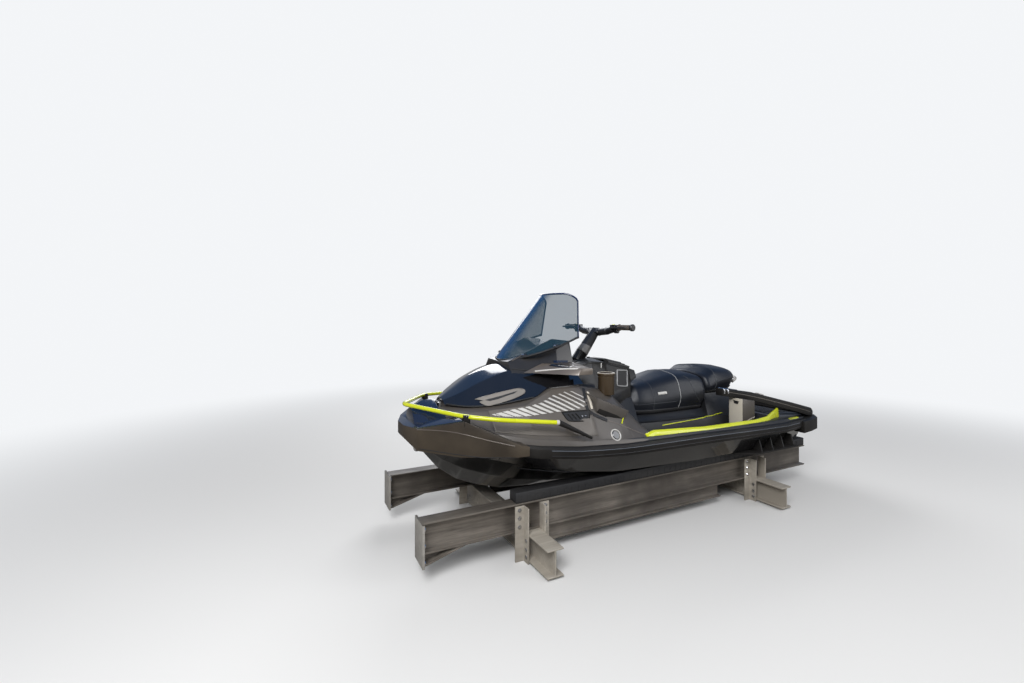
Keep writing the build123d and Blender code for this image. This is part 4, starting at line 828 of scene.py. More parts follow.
class Repeats(NodeGroups):
    """Geometry node trees that set out bolts, ribs, treads and stripes."""

    kind = "GeometryNodeTree"

    def tree(self, name: str, inputs: dict[str, tuple[str, object]],
             fill: Callable[[Graph, Sockets], Socket]) -> bpy.types.NodeTree:
        """Make a tree that realises what it sets out and gives it its material.

        Args:
            name: the tree's name.
            inputs: socket type and default of each input beside the geometry and material.
            fill: adds the nodes, from the graph and the tree's inputs, and returns the geometry.

        Returns:
            The geometry node tree.
        """
        def dress(graph: Graph, given: Sockets) -> dict[str, Socket]:
            """Realise what the nodes set out and set its material."""
            real = graph.take("GeometryNodeRealizeInstances", "Geometry",
                              Geometry=fill(graph, given))
            return {"Geometry": graph.take("GeometryNodeSetMaterial", "Geometry", Geometry=real,
                                           Material=given["Material"])}

        return self.group(name, {"Geometry": ("NodeSocketGeometry", None), **inputs,
                                 "Material": ("NodeSocketMaterial", None)},
                          {"Geometry": "NodeSocketGeometry"}, dress)

    @staticmethod
    def row(graph: Graph, given: Sockets) -> Socket:
        """A row of points, set out by a count, a start and a step."""
        return graph.take("GeometryNodeMeshLine", "Mesh", mode="OFFSET", Count=given["Count"],
                          Start_Location=given["Start"], Offset=given["Step"])

    @staticmethod
    def ray(graph: Graph, given: Sockets, way: Socket) -> bpy.types.Node:
        """A ray from every point of a mesh to the base geometry."""
        return graph.add("GeometryNodeRaycast", data_type="FLOAT_VECTOR",
                         Target_Geometry=given["Geometry"], Ray_Direction=way,
                         Ray_Length=RAY_LENGTH)

    def studs(self) -> bpy.types.NodeTree:
        """Cylinders on washers on a mesh's points, each along its point's own outward step.

        Returns:
            The geometry node tree.
        """
        def fill(graph: Graph, given: Sockets) -> Socket:
            """Add the tree's nodes."""
            out = graph.take("GeometryNodeInputNamedAttribute", "Attribute",
                             data_type="FLOAT_VECTOR", Name="out")
            turn = graph.take("FunctionNodeAlignRotationToVector", "Rotation", axis="Z",
                              Vector=out)
            head = graph.take("GeometryNodeMeshCylinder", "Mesh", Vertices=given["Sides"],
                              Radius=given["Radius"], Depth=given["Height"])
            wide = graph.take("ShaderNodeMath", 0, {0: given["Radius"], 1: 1.5},
                              operation="MULTIPLY")
            thin = graph.take("ShaderNodeMath", 0, {0: given["Height"], 1: 0.4},
                              operation="MULTIPLY")
            washer = graph.take("GeometryNodeMeshCylinder", "Mesh", Vertices=20, Radius=wide,
                                Depth=thin)
            both = graph.add("GeometryNodeJoinGeometry", Geometry=head)
            graph.feed(both, Geometry=washer)
            return graph.take("GeometryNodeInstanceOnPoints", "Instances",
                              Points=given["Geometry"], Instance=both.outputs["Geometry"],
                              Rotation=turn)

        return self.tree("studs", {
            "Sides": ("NodeSocketInt", 6), "Radius": ("NodeSocketFloat", 0.008),
            "Height": ("NodeSocketFloat", 0.01)}, fill)

    def slats(self) -> bpy.types.NodeTree:
        """A row of equal bars.

        Returns:
            The geometry node tree.
        """
        def fill(graph: Graph, given: Sockets) -> Socket:
            """Add the tree's nodes."""
            bar = graph.take("GeometryNodeMeshCube", "Mesh", Size=given["Size"])
            return graph.take("GeometryNodeInstanceOnPoints", "Instances",
                              Points=self.row(graph, given), Instance=bar,
                              Rotation=given["Turn"])

        return self.tree("slats", {
            "Count": ("NodeSocketInt", 8), "Start": ("NodeSocketVector", (0.0, 0.0, 0.0)),
            "Step": ("NodeSocketVector", (0.02, 0.0, 0.0)),
            "Size": ("NodeSocketVector", (0.01, 0.05, 0.004)),
            "Turn": ("NodeSocketRotation", (0.0, 0.0, 0.0))}, fill)

    def stripes(self) -> bpy.types.NodeTree:
        """A fan of stripes cast sideways on a surface, kept where a window stands behind them.

        The base mesh holds the surface and the window's plate, the sheet of stripes between.

        Returns:
            The geometry node tree.
        """
        def fill(graph: Graph, given: Sockets) -> Socket:
            """Add the tree's nodes."""
            sheet = graph.take("GeometryNodeMeshGrid", "Mesh", Vertices_X=110, Vertices_Y=6,
                               Size_X=given["Length"], Size_Y=given["Width"])
            index = graph.take("GeometryNodeInputIndex", "Index")
            thinner = graph.take("ShaderNodeVectorMath", 0,
                                 {0: index, 1: given["Taper"], 2: (1.0, 1.0, 1.0)},
                                 operation="MULTIPLY_ADD")
            fanned = graph.take("ShaderNodeVectorMath", 0,
                                {0: index, 1: given["Fan"], 2: given["Turn"]},
                                operation="MULTIPLY_ADD")
            turned = graph.take("FunctionNodeEulerToRotation", 0, {0: fanned})
            spread = graph.take("GeometryNodeInstanceOnPoints", "Instances",
                                Points=self.row(graph, given), Instance=sheet, Rotation=turned,
                                Scale=thinner)
            real = graph.take("GeometryNodeRealizeInstances", "Geometry", Geometry=spread)
            inward = self.ray(graph, given, given["Inward"])
            back = graph.take("ShaderNodeVectorMath", 0, {0: given["Inward"]},
                              operation="SCALE", Scale=-1.0)
            window = self.ray(graph, given, back)
            seen = graph.take("FunctionNodeBooleanMath", 0, {
                0: inward.outputs["Is Hit"], 1: window.outputs["Is Hit"]}, operation="AND")
            lift = graph.take("ShaderNodeVectorMath", 0, {0: inward.outputs["Hit Normal"]},
                              operation="SCALE", Scale=given["Rise"])
            place = graph.take("ShaderNodeVectorMath", 0, {
                0: inward.outputs["Hit Position"], 1: lift}, operation="ADD")
            hit = graph.add("GeometryNodeCaptureAttribute", domain="POINT")
            hit.capture_items.new("BOOLEAN", "Hit")
            graph.feed(hit, Geometry=real, Hit=seen)
            moved = graph.take("GeometryNodeSetPosition", "Geometry",
                               Geometry=hit.outputs["Geometry"], Position=place)
            missed = graph.take("FunctionNodeBooleanMath", 0, {0: hit.outputs["Hit"]},
                                operation="NOT")
            return graph.take("GeometryNodeDeleteGeometry", "Geometry", domain="POINT",
                              Geometry=moved, Selection=missed)

        return self.tree("stripes", {
            "Count": ("NodeSocketInt", 10), "Start": ("NodeSocketVector", (0.0, 0.0, 0.0)),
            "Step": ("NodeSocketVector", (0.05, 0.0, 0.0)),
            "Length": ("NodeSocketFloat", 0.3), "Width": ("NodeSocketFloat", 0.008),
            "Turn": ("NodeSocketVector", (0.0, 0.0, 0.0)),
            "Fan": ("NodeSocketVector", (0.0, 0.0, 0.0)),
            "Taper": ("NodeSocketVector", (0.0, 0.0, 0.0)),
            "Inward": ("NodeSocketVector", (0.0, -1.0, 0.0)),
            "Rise": ("NodeSocketFloat", 0.001)}, fill)


REPEATS = Repeats()


@dataclass
class Workshop:
    """Makes the pieces of one CAD body and gives each its finish and body."""

    frame: dict
    body: str = "craft"
    keel: float = 0.0
    made: list[Piece] = field(default_factory=list)

    def __post_init__(self) -> None:
        """Find the keel line's height and each node's body."""
        self.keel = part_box("hull")[0].z
        groups = self.frame["record"]["behaviour"]["bodies"]
        self.body_of = {node: body for body, nodes in groups.items() for node in nodes}

    def on(self, body: str) -> "Workshop":
        """The workshop for another body's pieces."""
        return replace(self, body=body)

    def at(self, point: Point, side: Side = Side.PORT) -> Vector:
        """A point in mm above the keel line as one in metres over the floor."""
        x, y, z = point
        return Vector((x * MM, side.value * y * MM, self.keel + z * MM))

    def finish(self, piece: Piece, finish: Finish, replaces: Sequence[str] = ()) -> Piece:
        """Dress a finished piece and let it ride.

        Args:
            piece: the object, with its place in its mesh.
            finish: what its surface is.
            replaces: the CAD nodes that it stands for.

        Returns:
            The piece.
        """
        piece.data.materials.clear()
        piece.data.materials.append(finish.material())
        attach(piece, self.body)
        if replaces:
            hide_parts(*replaces)
        self.made.append(piece)
        LOG.info("%s on %s: %d faces", piece.name, self.body, len(piece.data.polygons))
        return piece

    def skin_of(self, node: str, finish: Finish, bevel: float = 0.0) -> Piece:
        """Stand a merged, bevelled and smoothed copy of a CAD node in its place.

        Args:
            node: the CAD node.
            finish: what its surface is.
            bevel: width of the rounding on its sharp edges.

        Returns:
            The new piece.
        """
        build = bmesh.new()
        build.from_mesh(self.frame["nodes"][node].data)
        bmesh.ops.remove_doubles(build, verts=build.verts, dist=MERGE_DISTANCE)
        bmesh.ops.dissolve_limit(build, angle_limit=FLAT_ANGLE, verts=build.verts,
                                 edges=build.edges)
        piece = put(frozen(build, f"{node}_skin"), f"{node}_skin")
        if bevel:
            edge = piece.modifiers.new("edge", "BEVEL")
            edge.width = bevel
            edge.segments = 2
            edge.limit_method = "ANGLE"
            edge.angle_limit = BEVEL_ANGLE
            baked(piece)
        return self.on(self.body_of[node]).finish(smoothed(piece), finish, [node])

    def zone(self, piece: Piece, finish: Finish,
             test: Callable[[bpy.types.MeshPolygon], bool]) -> None:
        """Give the faces that pass a test a finish of their own.

        Args:
            piece: the piece, with a finish already.
            finish: what those faces are made of.
            test: says which faces.
        """
        piece.data.materials.append(finish.material())
        index = len(piece.data.materials) - 1
        for face in piece.data.polygons:
            if test(face):
                face.material_index = index

    def lay(self, under: BVHTree, line: Line, name: str, finish: Finish,
            sides: Iterable[Side] = BOTH) -> None:
        """Lay a bead or a strip over a surface, on one side or both.

        Args:
            under: search tree of the surface.
            line: the bead.
            name: the piece's name, to which the side is added.
            finish: what it is made of.
            sides: the sides that have one.
        """
        for side in sides:
            way = spaced([self.at(point, side) for point in line.points], line.step * MM,
                         line.closed)
            hits = [under.find_nearest(point) for point in way]
            seats = [hit[0] for hit in hits]
            normals = [hit[1] for hit in hits]
            count = len(seats)
            for _ in range(2):
                normals = [(normals[max(i - 1, 0)] + 2 * normals[i]
                            + normals[min(i + 1, count - 1)]).normalized() for i in range(count)]
            profile = line.profile()
            points = []
            for i, (seat, normal) in enumerate(zip(seats, normals)):
                ahead = seats[(i + 1) % count if line.closed else min(i + 1, count - 1)]
                behind = seats[i - 1 if line.closed else max(i - 1, 0)]
                across = (ahead - behind).cross(normal).normalized()
                points += [seat + across * u * MM + normal * v * MM for u, v in profile]
            piece = meshed(points, tube_faces(count, len(profile), line.closed),
                           side.named(name))
            self.finish(smoothed(piece, math.radians(50)), finish)

    def patch(self, under: BVHTree, outline: Sequence[Point], rise: float, name: str,
              finish: Finish, sides: Iterable[Side] = BOTH, cuts: int = 3) -> None:
        """Lay a thin plate with a given outline over a surface.

        Args:
            under: search tree of the surface.
            outline: the plate's corners in mm.
            rise: how far its face stands out, in mm.
            name: the piece's name, to which the side is added.
            finish: what it is made of.
            sides: the sides that have one.
            cuts: how finely the plate follows the surface.
        """
        for side in sides:
            build = bmesh.new()
            build.faces.new([build.verts.new(self.at(point, side)) for point in outline])
            bmesh.ops.triangulate(build, faces=build.faces)
            bmesh.ops.subdivide_edges(build, edges=build.edges, cuts=cuts, use_grid_fill=True)
            build.normal_update()
            facing = 0.0
            hits = {vertex: under.find_nearest(vertex.co) for vertex in build.verts}
            for vertex, (seat, normal, _, _) in hits.items():
                facing += vertex.normal.dot(normal)
                vertex.co = seat + normal * rise * MM
            if facing < 0:
                bmesh.ops.reverse_faces(build, faces=build.faces)
            piece = walled(put(frozen(build, name), side.named(name)), (rise + 0.8) * MM)
            self.finish(smoothed(piece), finish)

    def ring(self, centre: Point, normal: Point, radius: float, tube: float, name: str,
             finish: Finish, sides: Iterable[Side] = BOTH) -> None:
        """A round hoop about a point, in mm.

        Args:
            centre: the hoop's centre.
            normal: the way that it faces.
            radius: the hoop's radius.
            tube: its own section's radius.
            name: the piece's name, to which the side is added.
            finish: what it is made of.
            sides: the sides that have one.
        """
        for side in sides:
            out = Vector((normal[0], side.value * normal[1], normal[2])).normalized()
            spin = out.to_track_quat("Z", "Y")
            middle = self.at(centre, side)
            points = []
            for angle in turns(HOOP_TURNS):
                arm = spin @ Vector((math.cos(angle), math.sin(angle), 0.0))
                points += [middle + arm * (radius + tube * math.cos(bend)) * MM
                           + out * tube * math.sin(bend) * MM for bend in turns(BEAD_SIDES)]
            piece = meshed(points, tube_faces(HOOP_TURNS, BEAD_SIDES, hoop=True),
                           side.named(name))
            self.finish(smoothed(piece, math.radians(60)), finish)

    def rod(self, start: Point, end: Point, radius: float, name: str, finish: Finish,
            sides: Iterable[Side] = BOTH) -> None:
        """A round rod with eased ends from one point to another, in mm.

        Args:
            start: the middle of one end.
            end: the middle of the other.
            radius: the rod's radius.
            name: the piece's name, to which the side is added.
            finish: what it is made of.
            sides: the sides that have one.
        """
        for side in sides:
            low, high = self.at(start, side), self.at(end, side)
            way = (high - low).normalized()
            spin = way.to_track_quat("Z", "Y")
            edge = min(radius * 0.25, (high - low).length / MM * 0.25)
            rings = [(low, radius - edge), (low + way * edge * MM, radius),
                     (high - way * edge * MM, radius), (high, radius - edge)]
            points = [middle + spin @ Vector((math.cos(a), math.sin(a), 0.0)) * size * MM
                      for middle, size in rings for a in turns(ROD_SIDES)]
            piece = meshed(points, tube_faces(len(rings), ROD_SIDES), side.named(name))
            self.finish(smoothed(piece, math.radians(40)), finish)

    def repeat(self, tree: bpy.types.NodeTree, name: str, finish: Finish,
               base: bpy.types.Mesh | None = None, **values: object) -> Piece:
        """Run a geometry node tree and keep what it makes as a plain mesh.

        Args:
            tree: the geometry node tree.
            name: the piece's name.
            finish: what it is made of.
            base: the mesh that the tree starts from.
            values: the tree's inputs by name.

        Returns:
            The piece.
        """
        piece = put(base or bpy.data.meshes.new(name), name)
        maker = piece.modifiers.new("repeat", "NODES")
        maker.node_group = tree
        keys = {item.name: item.identifier for item in tree.interface.items_tree
                if item.in_out == "INPUT"}
        for label, value in values.items():
            maker[keys[label]] = value
        maker[keys["Material"]] = finish.material()
        baked(piece)
        smoothed(piece, math.radians(40))
        return self.finish(piece, finish)

    def studs(self, places: Sequence[tuple[Vector, Vector]], name: str, finish: Finish,
              radius: float = 8.0, height: float = 10.0, sides: int = 6) -> None:
        """Bolt heads on washers at places with outward steps.

        Args:
            places: each place, with its outward step.
            name: the piece's name.
            finish: what they are made of.
            radius: of a head, in mm.
            height: of a head, in mm.
            sides: how many a head has.
        """
        mesh = bpy.data.meshes.new(name)
        mesh.from_pydata([tuple(place) for place, _ in places], [], [])
        store = mesh.attributes.new("out", "FLOAT_VECTOR", "POINT")
        store.data.foreach_set("vector", [value for _, out in places for value in out])
        self.repeat(REPEATS.studs(), name, finish, mesh, Sides=sides, Radius=radius * MM,
                    Height=height * MM)


@dataclass
class Moulding:
    """CAD nodes whose own shape is right, with a rounding and a finish each."""

    shop: Workshop
    nodes: dict[str, tuple[Finish, float]]

    def build(self) -> dict[str, Piece]:
        """Dress every node, and return its piece by its name."""
        return {node: self.shop.skin_of(node, finish, bevel)
                for node, (finish, bevel) in self.nodes.items()}


@dataclass
class Body:
    """Hull, deck, bumpers, panels, rails and the lime tube."""

    shop: Workshop
    front_start: float = 0.26
    nose_start: float = 1.515
    stripe_count: int = 14
    stripe_start: Flat = (1268.0, 577.0)
    stripe_step: Flat = (-41.0, 6.6)
    stripe_slant: float = math.radians(20.0)
    stripe_fan: float = math.radians(0.9)
    stripe_taper: float = 0.047
    window: Sequence[Flat] = (
        (1300, 586), (1260, 595), (1178, 613), (1095, 628), (1008, 643), (947, 664), (916, 675),
        (877, 680), (830, 687), (758, 690), (706, 664), (732, 630), (744, 603), (821, 593),
        (914, 591), (1003, 584), (1098, 577), (1189, 573), (1257, 577))
    badge: Point = (567.0, 560.4, 434.3)
    badge_normal: Point = (-0.03, 0.87, 0.5)

    def build(self) -> None:
        """Build the hull, the deck and what is fixed round them."""
        made = Moulding(self.shop, {
            "hull": (Finishes.HULL, 0.003), "deck": (Finishes.DECK, 0.005),
            "front_bumper": (Finishes.BUMPER, 0.012), "rub_rails": (Finishes.TRIM, 0.004),
            "rear_bumper": (Finishes.TRIM, 0.009), "bow_tube": (Finishes.LIME, 0.0),
            "bow_tube_brackets": (Finishes.TRIM, 0.004),
            "gunwale_rails": (Finishes.LIME, 0.002), "side_panels": (Finishes.PANEL, 0.0012),
            "hood_hinge": (Finishes.STAINLESS, 0.0), "sponsons": (Finishes.TRIM, 0.003),
            "tow_eyes": (Finishes.STAINLESS, 0.001), "engine_block": (Finishes.ENGINE, 0.004),
        }).build()
        self.paint(made)
        self.stripes(made["side_panels"])
        self.flanks(made)
        self.rails(made)
        self.tube()

    def paint(self, made: dict[str, Piece]) -> None:
        """Give the front body its metallic grey and the nose its gloss."""
        self.shop.zone(made["deck"], Finishes.METALLIC,
                       lambda face: self.front_start < face.center.x < self.nose_start)
        self.shop.zone(made["deck"], Finishes.NOSE, lambda face: face.center.x >= self.nose_start)
        self.shop.zone(made["front_bumper"], Finishes.NOSE,
                       lambda face: face.normal.z > 0.55 and face.center.x > 1.46)

    def stripes(self, panels: Piece) -> None:
        """Lay the slanting light stripes on both panels.

        Args:
            panels: the flank panels.
        """
        x, z = self.stripe_start
        for side in Side:
            build = bmesh.new()
            build.from_mesh(panels.data)
            build.faces.new([build.verts.new(self.shop.at((px, 900.0, pz), side))
                             for px, pz in self.window])
            self.shop.repeat(
                REPEATS.stripes(), side.named("panel_stripes"), Finishes.DECAL,
                frozen(build, "stripe_base"), Count=self.stripe_count,
                Start=self.shop.at((x, 700, z), side),
                Step=Vector((self.stripe_step[0] * MM, 0.0, self.stripe_step[1] * MM)),
                Length=0.3, Width=0.018, Rise=0.0009, Fan=(0.0, -self.stripe_fan, 0.0),
                Turn=(-side.value * math.pi / 2, -self.stripe_slant, 0.0),
                Taper=(0.0, -self.stripe_taper, 0.0), Inward=(0.0, -float(side.value), 0.0))

    def flanks(self, made: dict[str, Piece]) -> None:
        """Add the vents, the badge, the seams and a light edge line as a painted highlight on the
        front body's flanks.

        Args:
            made: the body's dressed nodes.
        """
        panels = tree_of(made["side_panels"])
        flank = tree_of(made["side_panels"], made["deck"])
        shop = self.shop
        vent = [(905, 486, 588), (712, 498, 583), (745, 519, 530), (872, 513, 540)]
        shop.patch(panels, vent, 1.2, "vent_recess", Finishes.RUBBER)
        shop.lay(panels, Line(vent, 7, 4, closed=True), "vent_rim", Finishes.TRIM)
        for index, x in enumerate((868.0, 842.0, 816.0)):
            shop.lay(panels, Line([(x, 496, 576), (x - 22, 512, 544)], 5, 6),
                     f"vent_louvre_{index}", Finishes.TRIM)
        for index, x in enumerate((781.0, 757.0)):
            shop.lay(panels, Line([(x, 507, 560), (x - 6, 509, 546)], 9, 9, round=True),
                     f"vent_fitting_{index}", Finishes.STAINLESS)
        shop.lay(flank, Line([(660, 360, 692), (690, 410, 670), (711, 447, 650), (728, 480, 612),
                              (724, 497, 581), (700, 505, 566), (647, 510, 537),
                              (600, 517, 516)], 21, 3, step=9), "flank_seam", Finishes.RUBBER)
        shop.lay(flank, Line([(646, 386, 670), (676, 436, 643), (690, 476, 616),
                              (691, 489, 589)], 17, 4, step=9), "pod_strip", Finishes.CREAM)
        # A light bead along the gunwale's edge where it turns down: a painted highlight.
        shop.lay(flank, Line([(592, 517, 515), (549, 521, 501), (508, 527, 484), (467, 534, 466),
                              (424, 540, 447), (366, 546, 423), (325, 556, 405)], 6, 2,
                             step=14), "flank_highlight_edge", Finishes.WING)
        shop.ring(self.badge, self.badge_normal, 33, 4.5, "badge_ring", Finishes.DECAL)
        shop.rod((567.6, 553, 430), (566.6, 562, 435.4), 26, "badge_face", Finishes.GLOSS)

    def rails(self, made: dict[str, Piece]) -> None:
        """Add the rub rails' twin inserts, the upper one blue-grey as a painted highlight, the lime
        lines, the bumper's ridge, light as a painted highlight, and the hull's ridge.

        Args:
            made: the body's dressed nodes.
        """
        rails = tree_of(made["rub_rails"])
        deck = tree_of(made["deck"])
        bumper = tree_of(made["front_bumper"])
        hull = tree_of(made["hull"])
        shop = self.shop
        # The upper insert is blue-grey as a painted highlight along the rail; the lower one is
        # plain black steel.
        for name, shift in (("upper", 8), ("lower", -20)):
            way = [(x, 632, z + shift) for x, z in ((-1270, 312), (-1000, 326), (-600, 335),
                                                   (-200, 345), (150, 351), (500, 358),
                                                   (850, 380), (1040, 399))]
            shop.lay(rails, Line(way, 4, 1.6, step=40), f"rail_insert_{name}",
                     Finishes.RAIL_HIGHLIGHT if name == "upper" else Finishes.STEEL_BLACK)
        shop.lay(deck, Line([(-110, 262, 359), (-400, 262, 367), (-760, 242, 386)], 7, 3.5,
                            round=True, step=25), "inner_line", Finishes.LIME)
        shop.lay(deck, Line([(430, 505, 552), (462, 514, 520), (492, 524, 488)], 7, 4),
                 "pod_line", Finishes.LIME)
        shop.patch(deck, [(-1350, 478, 339), (-1218, 508, 349), (-1150, 530, 354),
                          (-1144, 544, 354), (-1218, 530, 348), (-1326, 506, 340)], 2.0,
                   "stern_tab", Finishes.LIME)
        # A raised bead on the bumper's upper chamfer, coloured light as a painted highlight of that
        # edge.
        shop.lay(bumper, Line([(1680, 204, 511), (1625, 268, 516), (1561, 336, 518),
                               (1513, 386, 515), (1465, 432, 506), (1413, 474, 493),
                               (1361, 515, 481), (1306, 559, 470), (1264, 593, 462)], 6, 2.6),
                 "bumper_highlight_ridge", Finishes.WING)
        shop.lay(bumper, Line([(1250, 602, 392), (1330, 540, 388), (1480, 418, 396),
                               (1600, 300, 402), (1676, 215, 406)], 4, 1.5), "bumper_groove",
                 Finishes.RUBBER)
        shop.lay(hull, Line([(1120, 330, 225), (700, 440, 170), (0, 470, 140), (-700, 462, 136),
                             (-1300, 410, 132)], 8, 3, step=60), "spray_strake", Finishes.HULL)

    def tube(self) -> None:
        """Cap the lime tube's ends and bolt its clamps."""
        shop = self.shop
        shop.rod((980, 583.5, 555.5), (1000, 577.3, 557.4), 14, "tube_cap", Finishes.DECAL)
        for index, x in enumerate((1459.0, 1469.0)):
            shop.rod((x, 418, 606), (x, 424.5, 606), 3.6, f"clamp_screw_{index}",
                     Finishes.STAINLESS)


@dataclass
class Hood:
    """Hood shell, cowl, scoops, windshield and mirrors, which lift together."""

    shop: Workshop
    thickness: float = 0.006
    # x, then y and z of the middle, the shoulder and the edge
    rows: Sequence[tuple[float, Sequence[Flat]]] = (
        (1482, ((0, 647), (56, 637), (80, 615))), (1400, ((0, 703), (120, 682), (190, 613))),
        (1283, ((0, 779), (160, 745), (280, 622))), (1108, ((0, 841), (190, 808), (345, 649))),
        (1020, ((0, 853), (196, 824), (360, 663))), (900, ((0, 862), (200, 836), (352, 717))),
        (780, ((0, 864), (200, 838), (352, 719))), (650, ((0, 860), (195, 834), (345, 719))))
    scoop: Sequence[Point] = (
        (1330, 208, 650), (1302, 224, 663), (1252, 243, 676), (1194, 261, 689), (1137, 278, 701),
        (1089, 291, 709), (1057, 307, 703), (1055, 317, 694), (1080, 325, 678), (1126, 323, 661),
        (1185, 310, 642), (1235, 298, 632), (1278, 282, 622), (1302, 256, 629),
        (1314, 238, 638), (1290, 246, 646))
    throat: Sequence[Point] = (
        (1285, 246, 648), (1247, 262, 659), (1190, 279, 672), (1131, 294, 689), (1097, 300, 698),
        (1122, 303, 684), (1164, 294, 671), (1218, 282, 654), (1263, 268, 645))

    def build(self) -> None:
        """Build the hood and what stands on it."""
        skin = Loft(self.rows, (0.25, 0.05, 0.0), closed=False).build(self.shop.keel, "hood_skin")
        faced(skin, (0.0, 0.0, 1.0))
        under = tree_of(skin)
        self.shell(skin)
        made = Moulding(self.shop, {
            "cowl": (Finishes.COWL, 0.006), "mirror_wings": (Finishes.WING, 0.005),
            "mirror_glasses": (Finishes.MIRROR, 0.0)}).build()
        self.scoops(under)
        self.trim(under, tree_of(made["cowl"]), tree_of(made["mirror_wings"]))
        Screen(self.shop).build()

    def shell(self, skin: Piece) -> None:
        """Thicken the hood's skin inwards and add its hinge knuckle.

        Args:
            skin: the hood's outer sheet.
        """
        smoothed(walled(skin, self.thickness), math.radians(40))
        self.shop.finish(skin, Finishes.GLOSS, ["hood"])
        self.shop.rod((1502, -19, 616), (1502, 19, 616), 11, "hood_knuckle",
                      Finishes.STEEL_BLACK, ONCE)
        self.shop.rod((1478, 0, 628), (1496, 0, 620), 7, "hood_hinge_arm",
                      Finishes.STEEL_BLACK, ONCE)

    def scoops(self, under: BVHTree) -> None:
        """Lay the light pointed loops with their dark throats on the hood's sides."""
        shop = self.shop
        shop.patch(under, self.scoop, 3.0, "scoop_frame", Finishes.SCOOP)
        shop.patch(under, self.throat, 4.2, "scoop_throat", Finishes.RUBBER)
        shop.lay(under, Line(self.scoop, 4, 5.5, closed=True, round=True, step=9), "scoop_edge",
                 Finishes.SCOOP)

    def trim(self, under: BVHTree, cowl: BVHTree, wings: BVHTree) -> None:
        """Add the edge seal, the crease lines, the cowl's gasket and the wings' lenses.

        Args:
            under: the hood's skin.
            cowl: the cowl.
            wings: the mirror wings.
        """
        shop = self.shop
        shop.lay(under, Line([(1470, 92, 618), (1400, 188, 616), (1283, 278, 625),
                              (1108, 343, 652), (1020, 358, 666)], 8, 2.5, step=20),
                 "hood_edge", Finishes.RUBBER)
        shop.lay(cowl, Line([(1080, 196, 824), (1000, 218, 812), (880, 246, 798),
                             (760, 252, 796), (660, 248, 797)], 9, 4, step=20), "cowl_gasket",
                 Finishes.RUBBER)
        shop.lay(cowl, Line([(1064, 158, 866), (980, 160, 904), (880, 168, 955),
                             (790, 178, 996)], 5, 2.5, step=20), "cowl_crease", Finishes.WING)
        shop.patch(cowl, [(800, 247, 806), (800, 224, 862), (690, 226, 860), (690, 249, 806)],
                   2.0, "cowl_lens", Finishes.LENS)
        shop.lay(wings, Line([(970, 285, 812), (900, 325, 818), (820, 380, 822),
                              (745, 440, 822)], 10, 3, step=15), "wing_line", Finishes.DECAL)
        shop.patch(wings, [(880, 300, 838), (800, 300, 845), (760, 400, 834), (800, 400, 832)],
                   1.5, "wing_inlay", Finishes.GLOSS)


